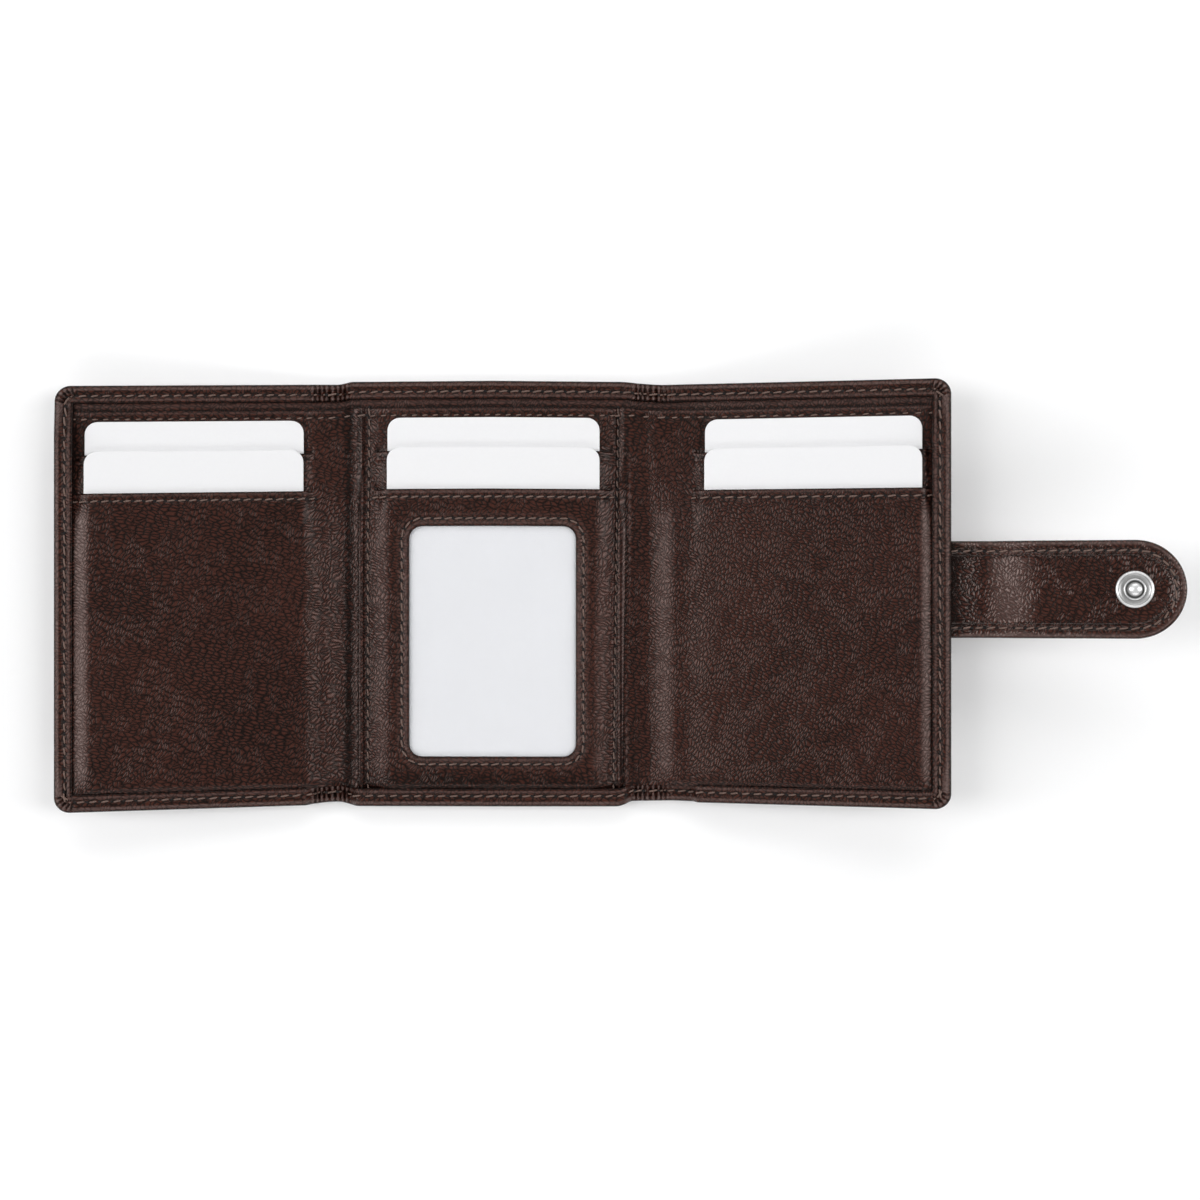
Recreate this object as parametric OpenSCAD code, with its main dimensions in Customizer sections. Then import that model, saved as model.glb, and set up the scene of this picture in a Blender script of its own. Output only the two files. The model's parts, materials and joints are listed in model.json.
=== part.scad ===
// Tri-fold leather wallet lying open: three panels with two card pockets each, a note
// compartment behind them, an identity window and a snap strap on the right flap.
// The origin is the centre of the middle panel's back, +X to the strap, +Y to the
// open top edge and +Z out of the inner face.

/* [Cards] */
// Width of a card across its short side
card_w = 53.98; // [50:0.01:60]
// Length of a card
card_l = 85.6; // [80:0.1:95]
// Thickness of a card
card_t = 0.5; // [0.3:0.05:0.9]
// Corner radius of a card
card_r = 3.18; // [1:0.01:6]
// Gap over and under a card in its pocket
card_clear = 0.1; // [0.05:0.05:0.3]
// Gap on each side of a card in its pocket
card_side_clear = 0.4; // [0.2:0.1:1.5]
// Gap between a card's lower end and the seam under it
card_seat = 0.2; // [0.1:0.1:1]
// How much higher the back card of a panel stands than the front one
card_step = 7.6; // [5:0.1:12]

/* [Leather] */
// Thickness of the outer shell
shell_t = 1.0; // [0.8:0.1:1.6]
// Thickness of the lining inside the note compartment
lining_t = 0.2; // [0.1:0.05:0.4]
// Room for notes between the lining and the pockets
note_gap = 0.6; // [0.4:0.1:1.5]
// Thickness of the sheet that backs the pockets
back_t = 0.5; // [0.3:0.1:0.9]
// Thickness of the upper pocket
upper_t = 0.6; // [0.4:0.1:1.2]
// Thickness of the front pocket
front_t = 0.9; // [0.6:0.1:1.5]
// Width of the shell's turned edge
edge_w = 4.4; // [3:0.1:7]
// Thickness of the shell's turned hem along the open top
hem_t = 0.8; // [0.5:0.1:1.2]
// Radius of the shell's outer corners
corner_r = 4.0; // [1:0.1:4.4]

/* [Panels] */
// Width of the seam between the left pockets and their fold
left_inner_seam = 0.8; // [0.5:0.1:3]
// Width of the seam between the left pockets and the turned edge
left_outer_seam = 2.3; // [0.5:0.1:5]
// Width of the seam on the left of the middle pockets
middle_left_seam = 6.9; // [3:0.1:10]
// Width of the seam on the right of the middle pockets
middle_right_seam = 6.1; // [3:0.1:10]
// Width of the seam between the right pockets and their fold
right_inner_seam = 1.7; // [0.5:0.1:4]
// Width of the seam between the right pockets and the turned edge
right_outer_seam = 2.3; // [0.5:0.1:5]
// Margin from a fold line to the raised middle panel, beyond what the fold needs
middle_inset = 0.6; // [0:0.1:3]
// Distance from the back card's upper end to the pocket panel's top edge
panel_over = 2.9; // [1:0.1:8]
// Distance from the pocket panel's top edge up to the shell's top edge
note_drop = 6.7; // [5:0.1:12]
// Distance from the pocket panel's top edge down to the upper slot
first_slot_drop = 10.9; // [6:0.1:16]
// Distance from the upper slot down to the lower slot
slot_pitch = 10.0; // [6:0.1:16]

/* [Identity window] */
// Width of the window opening
window_w = 42.1; // [30:0.1:48]
// Height of the window opening
window_h = 57.8; // [40:0.1:64]
// Corner radius of the window opening
window_r = 3.2; // [1:0.1:8]
// Distance from the lower slot down to the window opening
window_drop = 9.3; // [6:0.1:11]
// How far the clear pane reaches under the leather all round
pane_lap = 1.8; // [1:0.1:3]
// Thickness of the clear pane
pane_t = 0.2; // [0.1:0.05:0.4]

/* [Folds] */
// Lift of the left flap at each of its two fold lines, in degrees
left_lift = 3.5; // [0:0.5:20]
// Lift of the right flap at each of its two fold lines, in degrees
right_lift = 6.0; // [0:0.5:20]
// Gap between layers that meet inside a closed fold
fold_clear = 0.3; // [0.1:0.1:1]
// Gap between the middle panel and the left flap closed on it
left_closed_gap = 0.8; // [0.3:0.1:3]
// Gap between the left flap and the right flap closed over it
right_closed_gap = 0.4; // [0.3:0.1:3]

/* [Strap] */
// Width of the strap
strap_w = 23.8; // [16:0.1:30]
// Length of the strap beyond the right flap's edge
strap_l = 55.1; // [50:0.1:80]
// Height of the strap's centre line above the middle of the wallet
strap_y = 0.8; // [-10:0.1:10]
// Thickness of the strap's outer leather
strap_outer_t = 0.9; // [0.6:0.1:1.3]
// Thickness of the strap's inner leather
strap_inner_t = 0.9; // [0.6:0.1:1.3]
// Length of the strap's end that is sewn into the turned edge
strap_tail = 3.9; // [2:0.1:4.4]
// Gap between the fastened strap and the closed wallet
strap_gap = 0.3; // [0.2:0.1:2]

/* [Snap] */
// Radius of the stud's flange and of the socket's flange
flange_r = 4.5; // [3.5:0.1:6]
// Height of the stud's flange
flange_t = 0.4; // [0.3:0.1:0.8]
// Width of the raised rings on the stud's flange
ring_w = 0.6; // [0.3:0.1:0.8]
// Depth of the groove between the raised rings
groove_t = 0.15; // [0.05:0.05:0.2]
// Radius of the stud's ball
ball_r = 1.8; // [1.4:0.1:2.2]
// Height of the ball above the flange
ball_h = 1.5; // [1:0.1:1.8]
// Radius of the cap on the strap's outer face
cap_r = 5.5; // [4:0.1:8]
// Height of the cap
cap_t = 1.2; // [0.8:0.1:2]
// Radius of the post that joins the cap and the stud
post_r = 1.0; // [0.6:0.1:1.2]
// Gap round the post
post_clear = 0.05; // [0.02:0.01:0.1]
// How far the post reaches into the stud
post_reach = 0.9; // [0.5:0.1:1]
// Gap round the ball in its socket
socket_clear = 0.2; // [0.1:0.05:0.4]
// Wall of the socket's barrel
socket_wall = 0.8; // [0.5:0.1:1.2]
// Thickness of the socket's flange, let into the shell
socket_flange_t = 0.3; // [0.2:0.1:0.6]
// Thickness of the socket's closed end
socket_end_t = 0.2; // [0.1:0.05:0.5]
// Width of the washer that clenches the socket
washer_w = 1.4; // [0.8:0.1:2.5]
// Thickness of the washer
washer_t = 0.2; // [0.1:0.05:0.3]

/* [Hidden] */
$fn = 64;

left = -1;
right = 1;

shell_color = [0.23, 0.17, 0.15];
face_color = [0.27, 0.20, 0.18];
lining_color = [0.16, 0.12, 0.11];
card_color = [0.95, 0.95, 0.96];
pane_color = [0.85, 0.90, 0.93, 0.4];
metal_color = [0.75, 0.75, 0.74];

// Steps of the cap's curve from its crown to its rim
dome_steps = 8;

// Heights of the layers above the shell's outer face
card_gap = card_t + 2 * card_clear;
lining_z = shell_t;
lining_top = lining_z + lining_t;
socket_depth = ball_h - strap_gap + socket_clear;
socket_top = socket_depth + socket_end_t;
back_z = max(lining_top + note_gap, socket_top + fold_clear / 2, shell_t + hem_t);
back_top = back_z + back_t;
upper_z = back_top + card_gap;
upper_top = upper_z + upper_t;
front_z = upper_top + card_gap;
front_top = front_z + front_t;
edge_top = front_z + front_t / 2;

// The fold lines run along the shell's inner face
hinge_z = shell_t;
layers_t = front_top - hinge_z;
fold_room = back_top - hinge_z + fold_clear;
left_spine_w = 2 * layers_t + left_closed_gap;
right_spine_w = left_spine_w + front_top + right_closed_gap;

// Widths of the panels from their fold lines
pocket_w = card_w + 2 * card_side_clear;
left_pocket_x = fold_room + left_inner_seam;
right_pocket_x = fold_room + right_inner_seam;
left_face_end = left_pocket_x + pocket_w + left_outer_seam;
right_face_end = right_pocket_x + pocket_w + right_outer_seam;
left_flap_w = left_face_end + edge_w;
right_flap_w = right_face_end + edge_w;
middle_face_w = middle_left_seam + pocket_w + middle_right_seam;
middle_w = middle_face_w + 2 * (fold_room + middle_inset);
middle_face_x = -middle_face_w / 2;
middle_pocket_x = middle_face_x + middle_left_seam;

// Heights along the panels, from the middle of the wallet
wallet_h = edge_w + card_seat + card_l + card_step + panel_over + note_drop;
bottom_y = -wallet_h / 2;
top_y = wallet_h / 2;
face_bottom_y = bottom_y + edge_w;
face_top_y = top_y - note_drop;
hem_y = top_y - edge_w;
front_card_y = face_bottom_y + card_seat;
back_card_y = front_card_y + card_step;
upper_slot_y = face_top_y - first_slot_drop;
lower_slot_y = upper_slot_y - slot_pitch;
window_y = lower_slot_y - window_drop - window_h / 2;
window_x = middle_pocket_x + pocket_w / 2;

// The strap's fold lines, so that it wraps the closed wallet and meets the socket
strap_z = shell_t;
strap_mid_z = strap_z + strap_outer_t;
strap_top_z = strap_mid_z + strap_inner_t;
wrap_x = middle_w / 2 + shell_t + strap_gap;
strap_fold_1 = middle_w / 2 + wrap_x;
strap_fold_2 = strap_fold_1 + right_spine_w + 2 * hinge_z - strap_top_z + flange_t + strap_gap;
strap_end_x = right_flap_w + strap_l;
snap_x = strap_end_x - strap_w / 2;
socket_x = snap_x - strap_fold_2 - wrap_x;
socket_bore_r = ball_r + socket_clear;
barrel_r = socket_bore_r + socket_wall;

// Places what is drawn flat from a fold line outward on a spine
module on_spine(side, lift) {
    mirror([side == left ? 1 : 0, 0, 0])
        translate([middle_w / 2, 0, hinge_z])
            rotate([0, -lift, 0])
                translate([0, 0, -hinge_z])
                    children();
}

// Places what is drawn flat from a fold line outward on a flap
module on_flap(side, lift, spine_w) {
    on_spine(side, lift)
        translate([spine_w, 0, hinge_z])
            rotate([0, -lift, 0])
                translate([0, 0, -hinge_z])
                    children();
}

module on_left_spine() {
    on_spine(left, left_lift)
        children();
}

module on_right_spine() {
    on_spine(right, right_lift)
        children();
}

module on_left_flap() {
    on_flap(left, left_lift, left_spine_w)
        children();
}

module on_right_flap() {
    on_flap(right, right_lift, right_spine_w)
        children();
}

// A flat sheet between two corners
module sheet(x_span, y_span, z_span) {
    translate([x_span[0], y_span[0], z_span[0]])
        cube([x_span[1] - x_span[0], y_span[1] - y_span[0], z_span[1] - z_span[0]]);
}

// A flat outline with all four corners rounded, centred
module rounded_outline(w, h, r) {
    square([w - 2 * r, h], center = true);
    square([w, h - 2 * r], center = true);
    for (x = [-1, 1], y = [-1, 1])
        translate([x * (w / 2 - r), y * (h / 2 - r)])
            circle(r);
}

// A sheet whose two corners on the outer side are rounded
module outer_sheet(x_span, y_span, z_span, r) {
    translate([0, 0, z_span[0]])
        linear_extrude(z_span[1] - z_span[0])
            intersection() {
                translate([x_span[0], y_span[0]])
                    square([x_span[1] - x_span[0], y_span[1] - y_span[0]]);
                translate([x_span[1] - wallet_h, 0])
                    rounded_outline(2 * wallet_h, wallet_h, r);
            }
}

// The parts that every panel has, drawn from its fold line outward
module flap_shell(flap_w) {
    outer_sheet([0, flap_w], [bottom_y, top_y], [0, shell_t], corner_r);
}

module flap_top_hem(flap_w) {
    outer_sheet([fold_room, flap_w], [hem_y, top_y], [shell_t, shell_t + hem_t], corner_r);
}

module flap_side_edge(flap_w, face_end) {
    outer_sheet([face_end, flap_w], [bottom_y, hem_y], [shell_t, edge_top], corner_r);
}

module bottom_edge(x_span, top) {
    sheet(x_span, [bottom_y, face_bottom_y], [shell_t, top]);
}

module panel_lining(x_span) {
    sheet(x_span, [face_bottom_y, hem_y], [lining_z, lining_top]);
}

module pocket_back(x_span) {
    sheet(x_span, [face_bottom_y, face_top_y], [back_z, back_top]);
}

module upper_pocket(x_span) {
    sheet(x_span, [face_bottom_y, upper_slot_y], [upper_z, upper_top]);
}

module front_pocket(x_span) {
    sheet(x_span, [face_bottom_y, lower_slot_y], [front_z, front_top]);
}

// The sewn margins beside the cards: a long pair behind the upper pocket and
// a pair behind the front pocket
module side_seams(x_span, pocket_x) {
    for (span = [[x_span[0], pocket_x], [pocket_x + pocket_w, x_span[1]]]) {
        sheet(span, [face_bottom_y, face_top_y], [back_top, upper_z]);
        sheet(span, [face_bottom_y, upper_slot_y], [upper_top, front_z]);
    }
}

// The seam that the back card stands on
module bottom_seam(pocket_x) {
    seam_x = [pocket_x, pocket_x + pocket_w];
    sheet(seam_x, [face_bottom_y, back_card_y - card_seat], [back_top, upper_z]);
}

module card_blank(pocket_x, y, z) {
    translate([pocket_x + pocket_w / 2, y + card_l / 2, z + card_clear])
        linear_extrude(card_t)
            rounded_outline(card_w, card_l, card_r);
}

module back_card(pocket_x) {
    card_blank(pocket_x, back_card_y, back_top);
}

module front_card(pocket_x) {
    card_blank(pocket_x, front_card_y, upper_top);
}

// The parts of a spine, drawn from its inner fold line outward
module spine_shell(spine_w) {
    sheet([0, spine_w], [bottom_y, top_y], [0, shell_t]);
}

module spine_lining(spine_w) {
    panel_lining([0, spine_w]);
}

module spine_top_hem(spine_w) {
    sheet([0, spine_w], [hem_y, top_y], [shell_t, shell_t + hem_t]);
}

module spine_bottom_edge(spine_w) {
    bottom_edge([0, spine_w], back_top);
}

module spine_facing(spine_w) {
    pocket_back([0, spine_w]);
}

// Middle panel
middle_x = [-middle_w / 2, middle_w / 2];
middle_layers_x = [middle_x[0] + fold_room, middle_x[1] - fold_room];
middle_face = [middle_face_x, middle_face_x + middle_face_w];

module middle_shell() {
    color(shell_color)
        difference() {
            sheet(middle_x, [bottom_y, top_y], [0, shell_t]);
            translate([socket_x, strap_y, 0]) {
                cylinder(r = barrel_r, h = 3 * shell_t, center = true);
                cylinder(r = flange_r, h = 2 * socket_flange_t, center = true);
            }
        }
}

module middle_lining() {
    color(lining_color)
        difference() {
            panel_lining(middle_layers_x);
            translate([socket_x, strap_y, lining_z])
                cylinder(r = barrel_r, h = 3 * lining_t, center = true);
        }
}

module middle_top_hem() {
    color(shell_color)
        sheet(middle_layers_x, [hem_y, top_y], [shell_t, shell_t + hem_t]);
}

module middle_bottom_edge() {
    color(shell_color)
        bottom_edge(middle_layers_x, edge_top);
}

module middle_pocket_back() {
    color(face_color)
        pocket_back(middle_face);
}

module middle_side_seams() {
    color(face_color)
        side_seams(middle_face, middle_pocket_x);
}

module middle_bottom_seam() {
    color(face_color)
        bottom_seam(middle_pocket_x);
}

module middle_upper_pocket() {
    color(face_color)
        upper_pocket(middle_face);
}

module middle_front_pocket() {
    color(face_color)
        difference() {
            front_pocket(middle_face);
            translate([window_x, window_y, front_z - front_t]) {
                linear_extrude(3 * front_t)
                    rounded_outline(window_w, window_h, window_r);
                linear_extrude(front_t + pane_t)
                    pane_outline();
            }
        }
}

module pane_outline() {
    rounded_outline(window_w + 2 * pane_lap, window_h + 2 * pane_lap, window_r);
}

module id_window() {
    color(pane_color)
        translate([window_x, window_y, front_z])
            linear_extrude(pane_t)
                pane_outline();
}

module middle_back_card() {
    color(card_color)
        back_card(middle_pocket_x);
}

module middle_front_card() {
    color(card_color)
        front_card(middle_pocket_x);
}

// Left spine
module left_spine_shell() {
    color(shell_color)
        on_left_spine()
            spine_shell(left_spine_w);
}

module left_spine_lining() {
    color(lining_color)
        on_left_spine()
            spine_lining(left_spine_w);
}

module left_spine_top_hem() {
    color(shell_color)
        on_left_spine()
            spine_top_hem(left_spine_w);
}

module left_spine_bottom_edge() {
    color(shell_color)
        on_left_spine()
            spine_bottom_edge(left_spine_w);
}

module left_spine_facing() {
    color(face_color)
        on_left_spine()
            spine_facing(left_spine_w);
}

// Left flap
left_face = [fold_room, left_face_end];

module left_shell() {
    color(shell_color)
        on_left_flap()
            flap_shell(left_flap_w);
}

module left_lining() {
    color(lining_color)
        on_left_flap()
            panel_lining(left_face);
}

module left_top_hem() {
    color(shell_color)
        on_left_flap()
            flap_top_hem(left_flap_w);
}

module left_side_edge() {
    color(shell_color)
        on_left_flap()
            flap_side_edge(left_flap_w, left_face_end);
}

module left_bottom_edge() {
    color(shell_color)
        on_left_flap()
            bottom_edge(left_face, edge_top);
}

module left_pocket_back() {
    color(face_color)
        on_left_flap()
            pocket_back(left_face);
}

module left_side_seams() {
    color(face_color)
        on_left_flap()
            side_seams(left_face, left_pocket_x);
}

module left_bottom_seam() {
    color(face_color)
        on_left_flap()
            bottom_seam(left_pocket_x);
}

module left_upper_pocket() {
    color(face_color)
        on_left_flap()
            upper_pocket(left_face);
}

module left_front_pocket() {
    color(face_color)
        on_left_flap()
            front_pocket(left_face);
}

module left_back_card() {
    color(card_color)
        on_left_flap()
            back_card(left_pocket_x);
}

module left_front_card() {
    color(card_color)
        on_left_flap()
            front_card(left_pocket_x);
}

// Right spine
module right_spine_shell() {
    color(shell_color)
        on_right_spine()
            spine_shell(right_spine_w);
}

module right_spine_lining() {
    color(lining_color)
        on_right_spine()
            spine_lining(right_spine_w);
}

module right_spine_top_hem() {
    color(shell_color)
        on_right_spine()
            spine_top_hem(right_spine_w);
}

module right_spine_bottom_edge() {
    color(shell_color)
        on_right_spine()
            spine_bottom_edge(right_spine_w);
}

module right_spine_facing() {
    color(face_color)
        on_right_spine()
            spine_facing(right_spine_w);
}

// Right flap
right_face = [fold_room, right_face_end];

module right_shell() {
    color(shell_color)
        on_right_flap()
            flap_shell(right_flap_w);
}

module right_lining() {
    color(lining_color)
        on_right_flap()
            panel_lining(right_face);
}

module right_top_hem() {
    color(shell_color)
        on_right_flap()
            flap_top_hem(right_flap_w);
}

// The right turned edge is let out over the strap's sewn end
module right_side_edge() {
    color(shell_color)
        on_right_flap()
            difference() {
                flap_side_edge(right_flap_w, right_face_end);
                sheet([right_flap_w - strap_tail, right_flap_w + edge_w],
                    strap_span, [0, strap_top_z]);
            }
}

module right_bottom_edge() {
    color(shell_color)
        on_right_flap()
            bottom_edge(right_face, edge_top);
}

module right_pocket_back() {
    color(face_color)
        on_right_flap()
            pocket_back(right_face);
}

module right_side_seams() {
    color(face_color)
        on_right_flap()
            side_seams(right_face, right_pocket_x);
}

module right_bottom_seam() {
    color(face_color)
        on_right_flap()
            bottom_seam(right_pocket_x);
}

module right_upper_pocket() {
    color(face_color)
        on_right_flap()
            upper_pocket(right_face);
}

module right_front_pocket() {
    color(face_color)
        on_right_flap()
            front_pocket(right_face);
}

module right_back_card() {
    color(card_color)
        on_right_flap()
            back_card(right_pocket_x);
}

module right_front_card() {
    color(card_color)
        on_right_flap()
            front_card(right_pocket_x);
}

// Strap
strap_span = [strap_y - strap_w / 2, strap_y + strap_w / 2];
strap_outer_z = [strap_z, strap_mid_z];
strap_inner_z = [strap_mid_z, strap_top_z];
strap_base_x = [right_flap_w - strap_tail, strap_fold_1];
strap_bend_x = [strap_fold_1, strap_fold_2];

module strap_end(z_span) {
    difference() {
        translate([0, strap_y, z_span[0]])
            linear_extrude(z_span[1] - z_span[0]) {
                translate([strap_fold_2, -strap_w / 2])
                    square([snap_x - strap_fold_2, strap_w]);
                translate([snap_x, 0])
                    circle(strap_w / 2);
            }
        translate([snap_x, strap_y, 0])
            cylinder(r = post_r + post_clear, h = 2 * strap_top_z);
    }
}

module strap_base_outer() {
    color(shell_color)
        on_right_flap()
            sheet(strap_base_x, strap_span, strap_outer_z);
}

module strap_base_inner() {
    color(shell_color)
        on_right_flap()
            sheet(strap_base_x, strap_span, strap_inner_z);
}

module strap_bend_outer() {
    color(shell_color)
        on_right_flap()
            sheet(strap_bend_x, strap_span, strap_outer_z);
}

module strap_bend_inner() {
    color(shell_color)
        on_right_flap()
            sheet(strap_bend_x, strap_span, strap_inner_z);
}

module strap_end_outer() {
    color(shell_color)
        on_right_flap()
            strap_end(strap_outer_z);
}

module strap_end_inner() {
    color(shell_color)
        on_right_flap()
            strap_end(strap_inner_z);
}

// Snap: the cap's post goes through the strap into the stud
module on_snap(z) {
    on_right_flap()
        translate([snap_x, strap_y, z])
            children();
}

module snap_cap() {
    dome_r = (cap_r * cap_r + cap_t * cap_t) / (2 * cap_t);
    half_angle = asin(cap_r / dome_r);
    dome = [
        for (i = [0:dome_steps])
            let (a = half_angle * i / dome_steps)
                [dome_r * sin(a), dome_r - cap_t - dome_r * cos(a)]
    ];
    post = [
        [post_r, 0],
        [post_r, strap_top_z - strap_z + post_reach],
        [0, strap_top_z - strap_z + post_reach]
    ];
    color(metal_color)
        on_snap(strap_z)
            rotate_extrude()
                polygon(concat(dome, post));
}

module snap_stud() {
    inner_ring_r = ball_r + 1.5 * ring_w;
    ball_z = flange_t + ball_h - ball_r;
    color(metal_color)
        on_snap(strap_top_z)
            difference() {
                union() {
                    cylinder(r = flange_r, h = flange_t);
                    intersection() {
                        translate([0, 0, ball_z])
                            sphere(ball_r);
                        cylinder(r = ball_r, h = flange_t + ball_h);
                    }
                }
                translate([0, 0, flange_t - groove_t])
                    difference() {
                        cylinder(r = flange_r - ring_w, h = flange_t);
                        cylinder(r = inner_ring_r, h = 3 * flange_t, center = true);
                    }
                cylinder(r = post_r + post_clear, h = 2 * post_reach + 2 * post_clear, center = true);
            }
}

module snap_socket() {
    color(metal_color)
        translate([socket_x, strap_y, 0])
            rotate_extrude()
                polygon([
                    [socket_bore_r, 0],
                    [flange_r, 0],
                    [flange_r, socket_flange_t],
                    [barrel_r, socket_flange_t],
                    [barrel_r, socket_top],
                    [0, socket_top],
                    [0, socket_depth],
                    [socket_bore_r, socket_depth]
                ]);
}

module socket_washer() {
    color(metal_color)
        translate([socket_x, strap_y, lining_top])
            difference() {
                cylinder(r = barrel_r + washer_w, h = washer_t);
                cylinder(r = barrel_r, h = 3 * washer_t, center = true);
            }
}

middle_shell();
middle_lining();
middle_top_hem();
middle_bottom_edge();
middle_pocket_back();
middle_side_seams();
middle_bottom_seam();
middle_upper_pocket();
middle_front_pocket();
id_window();
middle_back_card();
middle_front_card();
left_spine_shell();
left_spine_lining();
left_spine_top_hem();
left_spine_bottom_edge();
left_spine_facing();
left_shell();
left_lining();
left_top_hem();
left_side_edge();
left_bottom_edge();
left_pocket_back();
left_side_seams();
left_bottom_seam();
left_upper_pocket();
left_front_pocket();
left_back_card();
left_front_card();
right_spine_shell();
right_spine_lining();
right_spine_top_hem();
right_spine_bottom_edge();
right_spine_facing();
right_shell();
right_lining();
right_top_hem();
right_side_edge();
right_bottom_edge();
right_pocket_back();
right_side_seams();
right_bottom_seam();
right_upper_pocket();
right_front_pocket();
right_back_card();
right_front_card();
strap_base_outer();
strap_base_inner();
strap_bend_outer();
strap_bend_inner();
strap_end_outer();
strap_end_inner();
snap_cap();
snap_stud();
snap_socket();
socket_washer();
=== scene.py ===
"""Tri-fold card wallet that lies open, with a card pair in each panel and its snap strap out to the right.

Every size is in millimetres on the cut, which is the wallet laid flat: s runs across it from the middle panel's
centre, y runs up, and h is the height over the outer face. Cut.place() bends that cut at the fold lines of the frame.
"""

import json
import logging
import math
from dataclasses import dataclass, field
from enum import Enum
from typing import Optional, Sequence, Union

import bpy
import numpy as np
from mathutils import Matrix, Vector

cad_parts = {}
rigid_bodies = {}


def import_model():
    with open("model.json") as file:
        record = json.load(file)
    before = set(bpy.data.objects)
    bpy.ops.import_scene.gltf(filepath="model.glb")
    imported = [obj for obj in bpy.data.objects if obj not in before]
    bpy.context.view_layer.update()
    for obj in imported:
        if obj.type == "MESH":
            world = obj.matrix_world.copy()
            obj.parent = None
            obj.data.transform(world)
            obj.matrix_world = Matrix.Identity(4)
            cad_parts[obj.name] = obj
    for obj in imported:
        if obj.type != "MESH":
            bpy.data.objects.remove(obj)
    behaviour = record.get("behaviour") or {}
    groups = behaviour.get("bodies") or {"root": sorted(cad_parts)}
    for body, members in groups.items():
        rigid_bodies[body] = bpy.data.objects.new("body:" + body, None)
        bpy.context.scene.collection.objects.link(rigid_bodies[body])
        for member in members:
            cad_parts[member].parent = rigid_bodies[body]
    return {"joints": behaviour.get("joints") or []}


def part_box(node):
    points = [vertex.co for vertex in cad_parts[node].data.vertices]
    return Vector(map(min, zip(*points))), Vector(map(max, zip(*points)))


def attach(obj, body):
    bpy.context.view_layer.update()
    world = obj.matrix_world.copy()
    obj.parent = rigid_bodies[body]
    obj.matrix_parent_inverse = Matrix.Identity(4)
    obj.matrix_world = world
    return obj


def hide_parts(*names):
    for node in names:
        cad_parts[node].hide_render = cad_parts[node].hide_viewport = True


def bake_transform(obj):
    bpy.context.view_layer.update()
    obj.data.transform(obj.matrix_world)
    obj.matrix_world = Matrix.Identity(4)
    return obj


log = logging.getLogger("wallet")
MM = 0.001
FAR = 99.0  # stands for the distance to an edge that a section doesn't have
PULL = 2.65  # length of the small waves that a row of stitches pulls into the leather
Array = np.ndarray
Colour = tuple[float, float, float]
Piece = bpy.types.Object
Socket = bpy.types.NodeSocket

# The objects that the program starts with aren't part of the wallet.
for leftover in list(bpy.data.objects):
    bpy.data.objects.remove(leftover)
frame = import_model()


# Small helpers


def smooth(t: Array) -> Array:
    """Returns t eased from 0 to 1, level at both ends."""
    t = np.clip(t, 0.0, 1.0)
    return t * t * (3.0 - 2.0 * t)


def mix(a: Array, b: Array, share: Array) -> Array:
    """Returns a where share is 0 and b where it is 1."""
    return a + (b - a) * share


def hump(x: Array, centre: float, width: float) -> Array:
    """Returns a bell of height 1 about centre, that has died away at twice the width."""
    return np.exp(-(((x - centre) / width) ** 2))


def wave(along: Array, length: float) -> Array:
    """Returns a wave of height 1 that repeats every length."""
    return np.cos(2.0 * math.pi * along / length)


def rounding(distance: Array, radius: Array) -> Array:
    """Gives how far a round of that radius lies under its crown, at a distance inside its edge."""
    t = np.clip(1.0 - distance / radius, 0.0, 1.0)
    return radius * (1.0 - np.sqrt(1.0 - t * t))


def ripple(s: Array, y: Array, size: float, seed: float = 0.0) -> Array:
    """Gives the slow unevenness of soft leather.

    Args:
        s, y: place on the cut.
        size: length of one wave.
        seed: shifts the pattern.

    Returns:
        A height between about -1 and 1.
    """
    k = 2.0 * math.pi / size
    return 0.5 * (np.sin(k * (s + 0.37 * y) + seed) * np.cos(k * (0.83 * y - 0.29 * s) + 1.7 * seed)
                  + np.sin(k * (0.61 * s - 0.52 * y) + 2.3 * seed + 1.0))


def lines(start: float, end: float, step: float, marks: Sequence[float] = ()) -> Array:
    """Spaces grid lines evenly between marks that must each have a line.

    Args:
        start: first line.
        end: last line.
        step: widest gap between two lines.
        marks: lines that must be there.

    Returns:
        The sorted places of the lines.
    """
    fixed = sorted({round(m, 4) for m in (start, end, *marks) if start <= m <= end})
    out = [fixed[0]]
    for a, b in zip(fixed, fixed[1:]):
        count = max(1, math.ceil((b - a) / step - 1e-6))
        out.extend(a + (b - a) * (i + 1) / count for i in range(count))
    return np.array(out)


def inward(start: float, end: float, gaps: Sequence[float]) -> list[float]:
    """Returns the places that lie the given gaps inside both ends."""
    return [start + g for g in gaps] + [end - g for g in gaps]


def beyond(start: float, end: float, gaps: Sequence[float]) -> list[float]:
    """Returns the places that lie the given gaps outside both ends."""
    return [start - g for g in gaps] + [end + g for g in gaps]


def round_corner(a: Array, b: Array, radius: float) -> tuple[Array, Array, Array]:
    """Bends the square corner of a grid into a quarter round.

    Args:
        a: distance from one edge.
        b: distance from the other edge.
        radius: radius of the finished corner.

    Returns:
        The two distances on the round corner, and the distance from the rim.
    """
    p, q = radius - a, radius - b
    inside = (p > 0) & (q > 0)
    reach = np.maximum(p, q)
    length = np.where(inside, np.hypot(p, q), 1.0)
    length = np.where(length < 1e-9, 1.0, length)
    new_a = np.where(inside, radius - p / length * reach, a)
    new_b = np.where(inside, radius - q / length * reach, b)
    return new_a, new_b, np.where(inside, radius - reach, np.minimum(a, b))


# The cut and how it bends


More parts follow.
